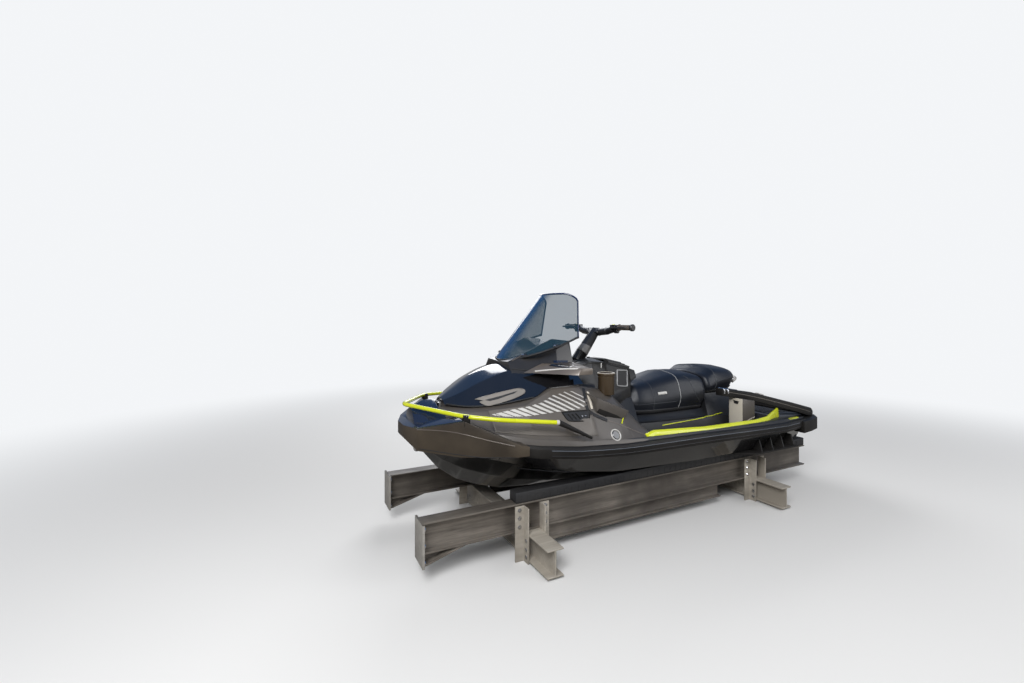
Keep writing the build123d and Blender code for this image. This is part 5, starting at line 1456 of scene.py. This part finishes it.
@dataclass
class Screen:
    """Windshield, a curved tinted sheet with an edge trim, on the cowl."""

    shop: Workshop
    # x of the middle, x and y of the edge
    foot: tuple[float, float, float] = (1088.0, 625.0, 262.0)
    top: tuple[float, float, float] = (730.0, 590.0, 200.0)
    foot_z: float = 850.0
    top_z: float = 1303.0
    corner: float = 55.0
    sill: Sequence[Flat] = ((560, 1015), (640, 1000), (1085, 858), (1110, 838))
    thickness: float = 0.004
    columns: int = 48
    rows: int = 26

    def place(self, turn: float, z: float) -> Flat:
        """The sheet's x and y at a height, at a share of the way round from the middle.

        Args:
            turn: from -1 at one edge to 1 at the other.
            z: the height.

        Returns:
            x and y.
        """
        share = (z - self.foot_z) / (self.top_z - self.foot_z)
        apex, edge_x, edge_y = [a + (b - a) * share for a, b in zip(self.foot, self.top)]
        depth = apex - edge_x
        radius = (depth * depth + edge_y * edge_y) / (2 * depth)
        centre = apex - radius
        angle = turn * math.atan2(edge_y, edge_x - centre)
        return centre + radius * math.cos(angle), radius * math.sin(angle)

    def sill_at(self, x: float) -> float:
        """Height of the cut along the sheet's foot at x."""
        xs, zs = zip(*self.sill)
        return float(np.interp(x, xs, zs))

    def low(self, turn: float) -> float:
        """Height at which a column of the sheet meets the sill.

        Args:
            turn: from -1 at one edge to 1 at the other.

        Returns:
            The height.
        """
        below, above = self.foot_z - 20, self.top_z
        for _ in range(30):
            middle = (below + above) / 2
            if middle < self.sill_at(self.place(turn, middle)[0]):
                below = middle
            else:
                above = middle
        return above

    def high(self, turn: float) -> float:
        """Height of the sheet's top edge, rounded down at its corners.

        Args:
            turn: from -1 at one edge to 1 at the other.

        Returns:
            The height.
        """
        reach = abs(self.place(turn, self.top_z)[1])
        start = self.top[2] - self.corner
        if reach <= start:
            return self.top_z
        over = min(reach - start, self.corner)
        return self.top_z - self.corner + math.sqrt(self.corner ** 2 - over ** 2)

    def build(self) -> None:
        """Build the sheet, its edge trim, its gasket and its clips."""
        shop = self.shop
        points, faces = [], []
        for i in range(self.columns + 1):
            turn = 2 * i / self.columns - 1
            low, high = self.low(turn), self.high(turn)
            for k in range(self.rows + 1):
                z = low + (high - low) * k / self.rows
                x, y = self.place(turn, z)
                points.append(shop.at((x, y, z)))
        width = self.rows + 1
        for i in range(self.columns):
            for k in range(self.rows):
                start = i * width + k
                faces.append((start, start + width, start + width + 1, start + 1))
        sheet = meshed(points, faces, "windshield_sheet", closed=False)
        faced(sheet, (1.0, 0.0, 0.0))
        middle = tree_of(sheet)
        smoothed(walled(sheet, self.thickness), math.radians(50))
        shop.finish(sheet, Finishes.SCREEN, ["windshield"])
        self.edges(middle)

    def edges(self, middle: BVHTree) -> None:
        """Run the trim round the sheet and set the clips on its foot.

        Args:
            middle: the sheet's faces.
        """
        shop = self.shop
        turns = [2 * i / self.columns - 1 for i in range(self.columns + 1)]
        top = [(*self.place(turn, self.high(turn)), self.high(turn) - 2) for turn in turns]
        foot = [(*self.place(turn, self.low(turn)), self.low(turn) + 4) for turn in turns]
        shop.lay(middle, Line(top, 9, 2.5, sink=6.5), "screen_top_trim", Finishes.SCREEN_EDGE, ONCE)
        shop.lay(middle, Line(foot, 12, 5, sink=9), "screen_gasket", Finishes.RUBBER,
                 ONCE)
        heights = [self.low(1.0) + (self.high(1.0) - self.low(1.0)) * k / 12 for k in range(13)]
        side = [(*self.place(0.998, z), z) for z in heights]
        shop.lay(middle, Line(side, 8, 2.5, sink=6.5), "screen_side_trim", Finishes.SCREEN_EDGE)
        for index, turn in enumerate((0.3, 0.62)):
            z = self.low(turn) + 14
            x, y = self.place(turn, z)
            ahead_x, ahead_y = self.place(turn + 0.05, z)
            shop.lay(middle, Line([(x, y, z), (ahead_x, ahead_y, z)], 26, 8, sink=8),
                     f"screen_clip_{index}", Finishes.STEEL_BLACK)
            shop.lay(middle, Line([(x, y, z + 4), (x + (ahead_x - x) / 2,
                                                   y + (ahead_y - y) / 2, z + 4)], 9, 11),
                     f"screen_screw_{index}", Finishes.STAINLESS)


@dataclass
class Seats:
    """Front and rear cushions with their piping, seams and side bands."""

    shop: Workshop
    # x, y and z of the foot, the side and the top's edge, z of the crown
    front: Sequence[tuple[float, ...]] = (
        (88, 140, 430.3, 160, 520, 100, 598, 615), (40, 165, 430.3, 182, 525, 130, 630, 648),
        (-84, 188, 430.3, 205, 525, 150, 652, 674), (-220, 190, 430.3, 225, 528, 172, 682, 708),
        (-344, 190, 430.3, 238, 535, 185, 700, 730), (-480, 190, 430.3, 250, 545, 200, 700, 724),
        (-594, 190, 430.3, 252, 560, 205, 682, 700))
    rear: Sequence[tuple[float, ...]] = (
        (-601, 198, 545.3, 252, 600, 205, 695, 717), (-714, 196, 545.3, 250, 622, 205, 735, 758),
        (-860, 190, 552, 238, 648, 190, 728, 748), (-960, 160, 592, 198, 664, 158, 708, 724),
        (-1005, 110, 624, 138, 666, 108, 690, 702))
    fill: float = 0.85

    def build(self) -> None:
        """Build both cushions and sew their lines on."""
        front = tree_of(self.cushion("seat_front", self.front, 26))
        rear = tree_of(self.cushion("seat_rear", self.rear, 22))
        self.sew(front, "front_pipe", -327, 724, 5.0, Finishes.PIPING)
        self.sew(front, "front_seam", -84, 668, 2.5, Finishes.SEAM)
        self.slant(front)
        self.sew(rear, "rear_pipe", -700, 752, 5.0, Finishes.SEAM, foot=560)
        self.sew(rear, "rear_seam", -900, 738, 2.5, Finishes.SEAM, foot=560)
        self.edges(front, rear)

    def cushion(self, name: str, rows: Sequence[tuple[float, ...]], reach: float) -> Piece:
        """A full rounded cushion through its sections.

        Args:
            name: the CAD node that it stands for.
            rows: place, foot, side, top's edge and crown of each section.
            reach: length of its rounded ends.

        Returns:
            The cushion.
        """
        stations = [(x, ((0.0, foot_z), (foot_y, foot_z), (side_y, side_z), (top_y, top_z),
                         (0.0, crown_z)))
                    for x, foot_y, foot_z, side_y, side_z, top_y, top_z, crown_z in rows]
        centre = sum(row[2] + row[7] for row in rows) / (2 * len(rows))
        skin = Loft(nosed(stations, reach, centre), (0.0, 0.12, 0.34, 0.36, 0.2), closed=True,
                    step=18).build(self.shop.keel, f"{name}_cushion")
        smoothed(skin, math.radians(60))
        self.shop.finish(skin, Finishes.SEAT, [name])
        return skin

    def sew(self, under: BVHTree, name: str, x: float, top: float, width: float,
            finish: Finish, foot: float = 450) -> None:
        """A line over the cushion from one side's foot to the other's, at one place.

        Args:
            under: the cushion.
            name: the line's name.
            x: its place along the craft.
            top: the crown's height there.
            width: the line's width.
            finish: its finish.
            foot: the height where it ends.
        """
        half = [(x, 0, top + 20), (x, 90, top + 8), (x, 180, top - 20), (x, 232, top - 90),
                (x, 240, (top + foot) / 2 - 20), (x, 215, foot)]
        line = [(a, -b, c) for a, b, c in half[:0:-1]] + half
        self.shop.lay(under, Line(line, width, width * 0.55, round=True, step=9), name, finish,
                      ONCE)

    def slant(self, under: BVHTree) -> None:
        """The slanting seam and the light tab on each side of the front cushion.

        Args:
            under: the front cushion.
        """
        shop = self.shop
        shop.lay(under, Line([(-405, 180, 700), (-432, 208, 676), (-455, 232, 601),
                              (-477, 252, 541), (-545, 222, 485)], 4, 2.5, round=True, step=9),
                 "slant_pipe", Finishes.SEAM)
        shop.lay(under, Line([(-130, 205, 581), (-168, 210, 583), (-205, 214, 584)], 20, 4),
                 "seat_tab", Finishes.DECAL)

    def edges(self, front: BVHTree, rear: BVHTree) -> None:
        """The dark band round each cushion's foot, and the stitches over it.

        Args:
            front: the front cushion.
            rear: the rear one.
        """
        shop = self.shop
        shop.lay(front, Line([(78, 150, 452), (0, 182, 452), (-150, 195, 450), (-350, 198, 450),
                              (-580, 198, 450)], 26, 3, step=16), "front_band", Finishes.RUBBER)
        shop.lay(rear, Line([(-612, 205, 562), (-720, 206, 562), (-860, 200, 562),
                             (-950, 192, 562)], 20, 3, step=16), "rear_band", Finishes.RUBBER)
        for name, under, line in (
                ("front_stitch", front, [(60, 158, 505), (-100, 202, 508), (-300, 225, 512)]),
                ("rear_stitch", rear, [(-712, 246, 640), (-800, 240, 650), (-890, 226, 655)])):
            shop.lay(under, Line(line, 3, 1.6, round=True, step=10), name, Finishes.SEAM)


@dataclass
class Cockpit:
    """Console, filler caps, knee pods, column, handlebar and glove box lid."""

    shop: Workshop
    cap: Point = (470.0, 345.0, 780.0)
    cap_ribs: int = 28
    cover_slant: float = 0.55
    cover_height: float = 0.085
    grip_ribs: int = 9

    def build(self) -> None:
        """Build everything before the rider."""
        made = Moulding(self.shop, {
            "console": (Finishes.CONSOLE, 0.008), "knee_pods": (Finishes.METALLIC, 0.012),
            "filler_caps": (Finishes.CAP, 0.003), "glovebox_lid": (Finishes.CONSOLE, 0.003),
            "steering_column": (Finishes.LIGHT_METALLIC, 0.004),
            "handlebar": (Finishes.STEEL_BLACK, 0.0), "grips": (Finishes.GRIP, 0.0015),
            "levers": (Finishes.STEEL_BLACK, 0.003)}).build()
        self.console(tree_of(made["console"]), tree_of(made["knee_pods"]))
        self.caps()
        self.bars(made)

    def console(self, console: BVHTree, pods: BVHTree) -> None:
        """Add the console's lines, its gauge, the rim round the lid and the pods' strips.

        Args:
            console: the console.
            pods: the knee pods.
        """
        shop = self.shop
        shop.lay(console, Line([(215, 147, 765), (111, 134, 751), (124, 150, 690),
                                (131, 157, 646), (238, 175, 663), (226, 160, 715)], 7, 5,
                               closed=True), "console_loop", Finishes.PIPING)
        shop.lay(console, Line([(364, 156, 822), (368, 162, 805), (372, 167, 789)], 6, 4),
                 "console_tick", Finishes.DECAL)
        shop.lay(console, Line([(560, 178, 806), (470, 170, 826), (360, 160, 822),
                                (240, 145, 796), (120, 134, 768)], 5, 3, step=20),
                 "console_edge", Finishes.TRIM)
        shop.patch(console, [(592, 52, 813), (592, -52, 813), (520, -70, 831), (520, 70, 831)],
                   1.2, "gauge_face", Finishes.LENS, ONCE)
        shop.lay(console, Line([(598, 60, 812), (598, -60, 812), (510, -78, 833),
                                (510, 78, 833)], 7, 4, closed=True), "gauge_rim",
                 Finishes.TRIM, ONCE)
        shop.lay(console, Line([(264, 101, 815), (68, 101, 766), (68, -101, 766),
                                (264, -101, 815)], 6, 17), "lid_rim", Finishes.CONSOLE, ONCE)
        shop.patch(pods, [(672, 505, 560), (640, 505, 528), (500, 505, 508), (470, 505, 512),
                          (520, 505, 540), (650, 505, 590)], 2, "pod_band", Finishes.TRIM)

    def caps(self) -> None:
        """Add the bright lips, the grooves and the grip ribs of the filler caps."""
        shop = self.shop
        x, y, top = self.cap
        shop.ring((x, y, top - 2), (0, 0, 1), 54, 3.5, "cap_lip", Finishes.CREAM)
        shop.ring((x, y, top - 5), (0, 0, 1), 30, 2.5, "cap_groove", Finishes.TRIM)
        places = []
        for side in Side:
            for angle in turns(self.cap_ribs):
                out = Vector((math.cos(angle), math.sin(angle), 0.0))
                places.append((shop.at((x, y, top - 28), side) + out * 0.0515, out))
        shop.studs(places, "cap_ribs", Finishes.CAP, 2.6, 5, 8)

    def bars(self, made: dict[str, Piece]) -> None:
        """Add the grips' ends and ribs, the bar's covers and its switches.

        Args:
            made: the cockpit's dressed nodes.
        """
        shop = self.shop.on("steering")
        low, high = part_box("grips")
        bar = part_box("handlebar")
        x = (bar[0].x + bar[1].x) / 2 / MM
        z = (low.z + high.z) / 2 / MM - shop.keel / MM
        tip = high.y / MM
        shop.rod((x - 8, tip - 24, z), (x - 9, tip + 1, z), 23.5, "bar_end", Finishes.STEEL_BLACK)
        grips = tree_of(made["grips"])
        for index in range(self.grip_ribs):
            y = tip - 34 - index * 10.5
            ring = [(x - 6 + 20 * math.cos(a), y, z + 20 * math.sin(a))
                    for a in turns(BEAD_SIDES)]
            shop.lay(grips, Line(ring, 4, 1.8, closed=True, round=True, step=7),
                     f"grip_rib_{index}", Finishes.GRIP)
        levers = tree_of(made["levers"])
        shop.lay(levers, Line([(x + 10, 205, z + 22), (x + 10, 222, z + 22)], 12, 4),
                 "bar_switch", Finishes.LIME)
        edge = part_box("steering_column")[1] - Vector((0.0, 0.0, self.cover_height))
        across = Vector((-self.cover_slant, 0.0, 1.0))
        split(made["steering_column"], edge, across)
        shop.zone(made["steering_column"], Finishes.STEEL_BLACK,
                  lambda face: face.center.dot(across) > edge.dot(across))
        centre = (bar[1].x / MM - 11, (bar[1].z - shop.keel) / MM - 45)
        shop.rod((centre[0], 60, centre[1]), (centre[0] - 3, 150, centre[1] + 9), 27,
                 "bar_cover_root", Finishes.STEEL_BLACK)
        shop.rod((centre[0] - 2, 134, centre[1] + 6), (centre[0] - 7, 228, centre[1] + 29), 25,
                 "bar_cover", Finishes.STEEL_BLACK)
        shop.rod((centre[0] - 8, 216, centre[1] + 8), (centre[0] - 8, 252, centre[1] + 8), 15,
                 "switch_block", Finishes.STEEL_BLACK)


@dataclass
class Stern:
    """Rear rails, boxes, mats, handle and boarding ladder."""

    shop: Workshop
    well_rows: int = 34
    well_start: Point = (145.0, 366.0, 255.6)
    well_step: float = -0.024
    well_turn: float = 0.12
    platform_rows: int = 11
    platform_start: Point = (-1205.0, 0.0, 361.0)
    platform_step: float = -0.032
    platform_fall: float = 0.085
    ladder_ribs: int = 9

    def build(self) -> None:
        """Build what stands behind the seats and in the wells."""
        made = Moulding(self.shop, {
            "rear_rack": (Finishes.TRIM, 0.006), "stern_boxes": (Finishes.METALLIC, 0.006),
            "deck_mats": (Finishes.MAT, 0.001), "grab_handle": (Finishes.LIGHT, 0.0),
            "ladder": (Finishes.STAINLESS, 0.0),
            "ladder_brackets": (Finishes.STAINLESS, 0.001)}).build()
        self.boxes(made["stern_boxes"], tree_of(made["rear_rack"]))
        self.treads()
        self.ladder()

    def boxes(self, boxes: Piece, rails: BVHTree) -> None:
        """Paint the boxes' bow-facing fronts cream as painted sunlight, with a dark notch, and
        dress the rear rails, with a light top line on them as a painted highlight.

        Args:
            boxes: the stern boxes.
            rails: the rear rails.
        """
        shop = self.shop
        # painted light: the sun-lit bow-facing faces are cream, the other faces keep the grey.
        shop.zone(boxes, Finishes.CREAM, lambda face: face.normal.x > 0.7)
        under = tree_of(boxes)
        shop.patch(under, [(-760, 345, 505), (-760, 395, 500), (-760, 385, 478),
                           (-760, 355, 480)], 2.0, "box_notch", Finishes.RUBBER)
        shop.lay(under, Line([(-800, 425, 350), (-844, 425, 362), (-905, 425, 374)], 5, 2),
                 "box_line", Finishes.CREAM)
        for index, x in enumerate((-655.0, -690.0)):
            shop.lay(rails, Line([(x, 300, 606), (x, 352, 600), (x, 356, 560)], 13, 4),
                     f"rail_clamp_{index}", Finishes.STAINLESS)
        shop.lay(rails, Line([(-985, 385, 548), (-1035, 393, 533)], 34, 9), "rail_pad",
                 Finishes.LIGHT)
        shop.lay(rails, Line([(-1675, 345, 356), (-1600, 350, 380)], 22, 6), "rail_end",
                 Finishes.LIGHT)
        # A light line along the rails' outer top edge: a painted highlight.
        shop.lay(rails, Line([(-680, 350, 572), (-900, 402, 530), (-1290, 482, 430),
                              (-1540, 474, 366)], 5, 2, step=40), "rail_highlight_line", Finishes.PANEL)

    def treads(self) -> None:
        """Cross bars of the footwells' mats and the platform's."""
        shop = self.shop
        for side in Side:
            shop.repeat(REPEATS.slats(), side.named("well_treads"), Finishes.MAT,
                        Count=self.well_rows, Start=shop.at(self.well_start, side),
                        Step=Vector((self.well_step, 0.0, 0.0)),
                        Size=Vector((0.009, 0.165, 0.003)),
                        Turn=(0.0, 0.0, side.value * self.well_turn))
        step = Vector((1.0, 0.0, self.platform_fall)) * self.platform_step
        shop.repeat(REPEATS.slats(), "platform_treads", Finishes.MAT, Count=self.platform_rows,
                    Start=shop.at(self.platform_start), Step=step,
                    Size=Vector((0.012, 0.60, 0.003)),
                    Turn=(0.0, -math.atan(self.platform_fall), 0.0))

    def ladder(self) -> None:
        """Rubber tread round the ladder's step."""
        shop = self.shop.on("ladder")
        low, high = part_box("ladder")
        x = (low.x / MM) + 10
        z = (high.z - shop.keel) / MM - 10
        shop.rod((x, -120, z), (x, 120, z), 13.5, "ladder_tread", Finishes.RUBBER, ONCE)
        for index in range(self.ladder_ribs):
            y = -100 + index * 25
            shop.ring((x, y, z), (0, 1, 0), 13.2, 1.6, f"ladder_rib_{index}", Finishes.RUBBER, ONCE)


@dataclass
class Pump:
    """Jet pump with its nozzle, bucket, shaft, grate and plate."""

    shop: Workshop
    flange_x: float = -1207.0
    flange_radius: float = 97.0
    pump_z: float = 138.0
    bolt_count: int = 8
    plate_z: float = 25.0
    plate_y: float = 105.0
    plate_xs: Sequence[float] = (-1240.0, -1400.0, -1560.0)

    def build(self) -> None:
        """Build the pump and its bolts."""
        Moulding(self.shop, {
            "pump_housing": (Finishes.CAST, 0.0), "intake_grate": (Finishes.STAINLESS, 0.001),
            "ride_plate": (Finishes.CAST, 0.0015), "steering_nozzle": (Finishes.CAST, 0.0),
            "reverse_bucket": (Finishes.CAST, 0.0), "impeller": (Finishes.STAINLESS, 0.0),
            "drive_shaft": (Finishes.STAINLESS, 0.001)}).build()
        places = []
        for angle in turns(self.bolt_count, 0.5):
            y = self.flange_radius * math.cos(angle)
            z = self.pump_z + self.flange_radius * math.sin(angle)
            places.append((self.shop.at((self.flange_x - 9, y, z)), Vector((-1.0, 0.0, 0.0))))
        self.shop.studs(places, "flange_bolts", Finishes.STAINLESS, 4.5, 7)
        plate = [(self.shop.at((x, y, self.plate_z)), Vector((0.0, 0.0, -1.0)))
                 for x in self.plate_xs for y in (-self.plate_y, self.plate_y)]
        self.shop.studs(plate, "plate_bolts", Finishes.STAINLESS, 5, 4)


@dataclass
class Cradle:
    """Aluminium arms and beams, their brackets and bolts and the bunks."""

    shop: Workshop
    arm_y: float = 400.0
    beam_xs: Flat = (1080.0, -860.0)
    bracket_heights: Sequence[float] = (-40.0, 10.0, 55.0)
    foot_heights: Sequence[float] = (-110.0, -160.0, -200.0)
    plate_heights: Sequence[float] = (-105.0, -20.0, 65.0)
    rib_count: int = 52

    def build(self) -> None:
        """Build the cradle and its fixings."""
        made = Moulding(self.shop, {
            "cradle_arm_port": (Finishes.BEAM, 0.0015),
            "cradle_arm_starboard": (Finishes.BEAM, 0.0015),
            "bunk_covers": (Finishes.BUNK, 0.006), "cross_beam_front": (Finishes.CROSS, 0.0015),
            "cross_beam_rear": (Finishes.CROSS, 0.0015),
            "beam_brackets": (Finishes.CROSS, 0.0015)}).build()
        for node in ("cradle_arm_port", "cradle_arm_starboard"):
            self.shop.zone(made[node], Finishes.PLATE, lambda face: face.center.x > 1.7)
        self.bolts()
        self.bunks()

    def bolts(self) -> None:
        """Bolts through the brackets, the end plates and the feet."""
        places = []
        for x in self.beam_xs:
            for side in Side:
                for end in (1, -1):
                    for z in self.bracket_heights:
                        places.append((self.shop.at((x + end * 84, self.arm_y + 54, z), side),
                                       Vector((0.0, side.value, 0.0))))
                    for z in self.foot_heights:
                        place = self.shop.at((x + end * 59, self.arm_y + 83, z), side)
                        places.append((place, Vector((end, 0.0, 0.0))))
        self.shop.studs(places, "bracket_bolts", Finishes.STAINLESS, 8, 9)
        plates = [(self.shop.at((1711, self.arm_y + y, z), side), Vector((-1.0, 0.0, 0.0)))
                  for side in Side for y in (-62, 62) for z in self.plate_heights]
        self.shop.studs(plates, "plate_nuts", Finishes.STAINLESS, 8, 8)

    def bunks(self) -> None:
        """Ribs across the bunk covers' outer faces."""
        for side in Side:
            start = self.shop.at((1150, self.arm_y + 42.2, 112), side)
            self.shop.repeat(REPEATS.slats(), side.named("bunk_ribs"), Finishes.BUNK,
                             Count=self.rib_count, Start=start, Step=Vector((-0.05, 0.0, 0.0)),
                             Size=Vector((0.008, 0.003, 0.036)), Turn=(0.0, 0.0, 0.0))


@dataclass
class Studio:
    """Pale floor, soft lamps and the photograph's camera."""

    shop: Workshop
    camera_place: tuple[float, float, float] = (2.354, 2.715, 1.13)
    heading: float = 26.8
    focal_pixels: float = 455.0
    horizon_row: float = 319.0
    sensor: float = 36.0
    floor_half: float = 40.0
    aim: Point = (0.2, 0.0, 0.7)
    backdrop: Color = (0.9, 0.915, 0.935, 1.0)

    def build(self) -> None:
        """Build the floor, the world, the lamps and the camera."""
        self.floor()
        self.world()
        self.lamps()
        self.camera()

    def pale(self) -> bpy.types.Material:
        """The floor's matte pale surface, which fades into the backdrop far away.

        Returns:
            The material.
        """
        material = bpy.data.materials.new("studio_floor")
        material.use_nodes = True
        graph = Graph(material.node_tree)
        nodes = material.node_tree.nodes
        shader = nodes["Principled BSDF"]
        camera = graph.take("ShaderNodeLightPath", "Is Camera Ray")
        tint = graph.take("ShaderNodeMix", 2, {6: rgb(0.3, 0.29, 0.275), 7: rgb(0.8, 0.8, 0.8)},
                          data_type="RGBA", Factor=camera)
        graph.feed(shader, Base_Color=tint, Roughness=0.85)
        place = graph.take("ShaderNodeTexCoord", "Object")
        reach = graph.take("ShaderNodeVectorMath", "Value", {0: place}, operation="LENGTH")
        fade = graph.take("ShaderNodeMapRange", "Result", From_Min=2.4, From_Max=7.5,
                          interpolation_type="SMOOTHSTEP", Value=reach)
        glow = graph.take("ShaderNodeEmission", "Emission", Color=self.backdrop, Strength=1.0)
        seen = graph.take("ShaderNodeMath", 0, {0: fade, 1: camera}, operation="MULTIPLY")
        mixed = graph.take("ShaderNodeMixShader", "Shader",
                           {1: shader.outputs["BSDF"], 2: glow}, Fac=seen)
        graph.feed(nodes["Material Output"], Surface=mixed)
        return material

    def floor(self) -> None:
        """A wide flat floor under the cradle's feet."""
        build = bmesh.new()
        bmesh.ops.create_grid(build, x_segments=4, y_segments=4, size=self.floor_half)
        floor = put(frozen(build, "floor"), "floor")
        floor.data.materials.append(self.pale())

    def world(self) -> None:
        """A sky that is pale to the camera and bluer overhead for the reflections."""
        world = bpy.data.worlds.new("studio")
        world.use_nodes = True
        graph = Graph(world.node_tree)
        nodes = world.node_tree.nodes
        bpy.context.scene.world = world
        place = graph.take("ShaderNodeTexCoord", "Generated")
        height = graph.take("ShaderNodeSeparateXYZ", "Z", Vector=place)
        ramp = graph.add("ShaderNodeValToRGB", Fac=height)
        for stop, position, color in zip(ramp.color_ramp.elements, (0.0, 0.7),
                                         (rgb(0.6, 0.6, 0.6), rgb(0.12, 0.3, 0.68))):
            stop.position = position
            stop.color = color
        path = graph.add("ShaderNodeLightPath")
        tint = graph.take("ShaderNodeMix", 2, {6: rgb(0.5, 0.5, 0.5), 7: ramp.outputs["Color"]},
                          data_type="RGBA", Factor=path.outputs["Is Glossy Ray"])
        background = nodes["Background"]
        graph.feed(background, Strength=0.6, Color=tint)
        backdrop = graph.take("ShaderNodeBackground", "Background", Color=self.backdrop,
                              Strength=1.0)
        mixed = graph.take("ShaderNodeMixShader", "Shader",
                           {1: background.outputs["Background"], 2: backdrop},
                           Fac=path.outputs["Is Camera Ray"])
        graph.feed(nodes["World Output"], Surface=mixed)

    def lamps(self) -> None:
        """Two soft boxes and a rim light."""
        for name, place, size, power in (
                ("key", (3.6, 3.4, 3.8), 2.2, 230.0),
                ("fill", (-3.2, 4.2, 2.6), 3.0, 90.0),
                ("rim", (-1.0, -4.2, 3.4), 3.0, 130.0)):
            lamp = bpy.data.lights.new(name, "AREA")
            lamp.energy = power
            lamp.size = size
            stand = bpy.data.objects.new(name, lamp)
            stand.location = place
            way = Vector(self.aim) - Vector(place)
            stand.rotation_euler = way.to_track_quat("-Z", "Y").to_euler()
            bpy.context.scene.collection.objects.link(stand)

    def camera(self) -> None:
        """The camera at the photograph's place, level, with its horizon row."""
        lens = bpy.data.cameras.new("camera")
        lens.sensor_width = self.sensor
        lens.lens = self.focal_pixels / IMAGE_WIDTH * self.sensor
        lens.shift_y = (self.horizon_row - IMAGE_HEIGHT / 2) / IMAGE_WIDTH
        camera = bpy.data.objects.new("camera", lens)
        x, y, z = self.camera_place
        camera.location = (x, y, self.shop.keel + z)
        turn = math.radians(self.heading)
        way = Vector((-math.sin(turn), -math.cos(turn), 0.0))
        camera.rotation_euler = way.to_track_quat("-Z", "Y").to_euler()
        bpy.context.scene.collection.objects.link(camera)
        bpy.context.scene.camera = camera


def main() -> None:
    """Load the frame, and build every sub-assembly and the studio."""
    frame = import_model()
    shop = Workshop(frame)
    bpy.context.scene.view_settings.view_transform = "Standard"
    bodies = {Body: "craft", Hood: "hood", Seats: "craft", Cockpit: "craft", Stern: "craft",
              Pump: "craft", Cradle: "craft", Studio: "craft"}
    for assembly, body in bodies.items():
        assembly(shop.on(body)).build()
    LOG.info("%d pieces made", len(shop.made))


if __name__ == "__main__":
    main()
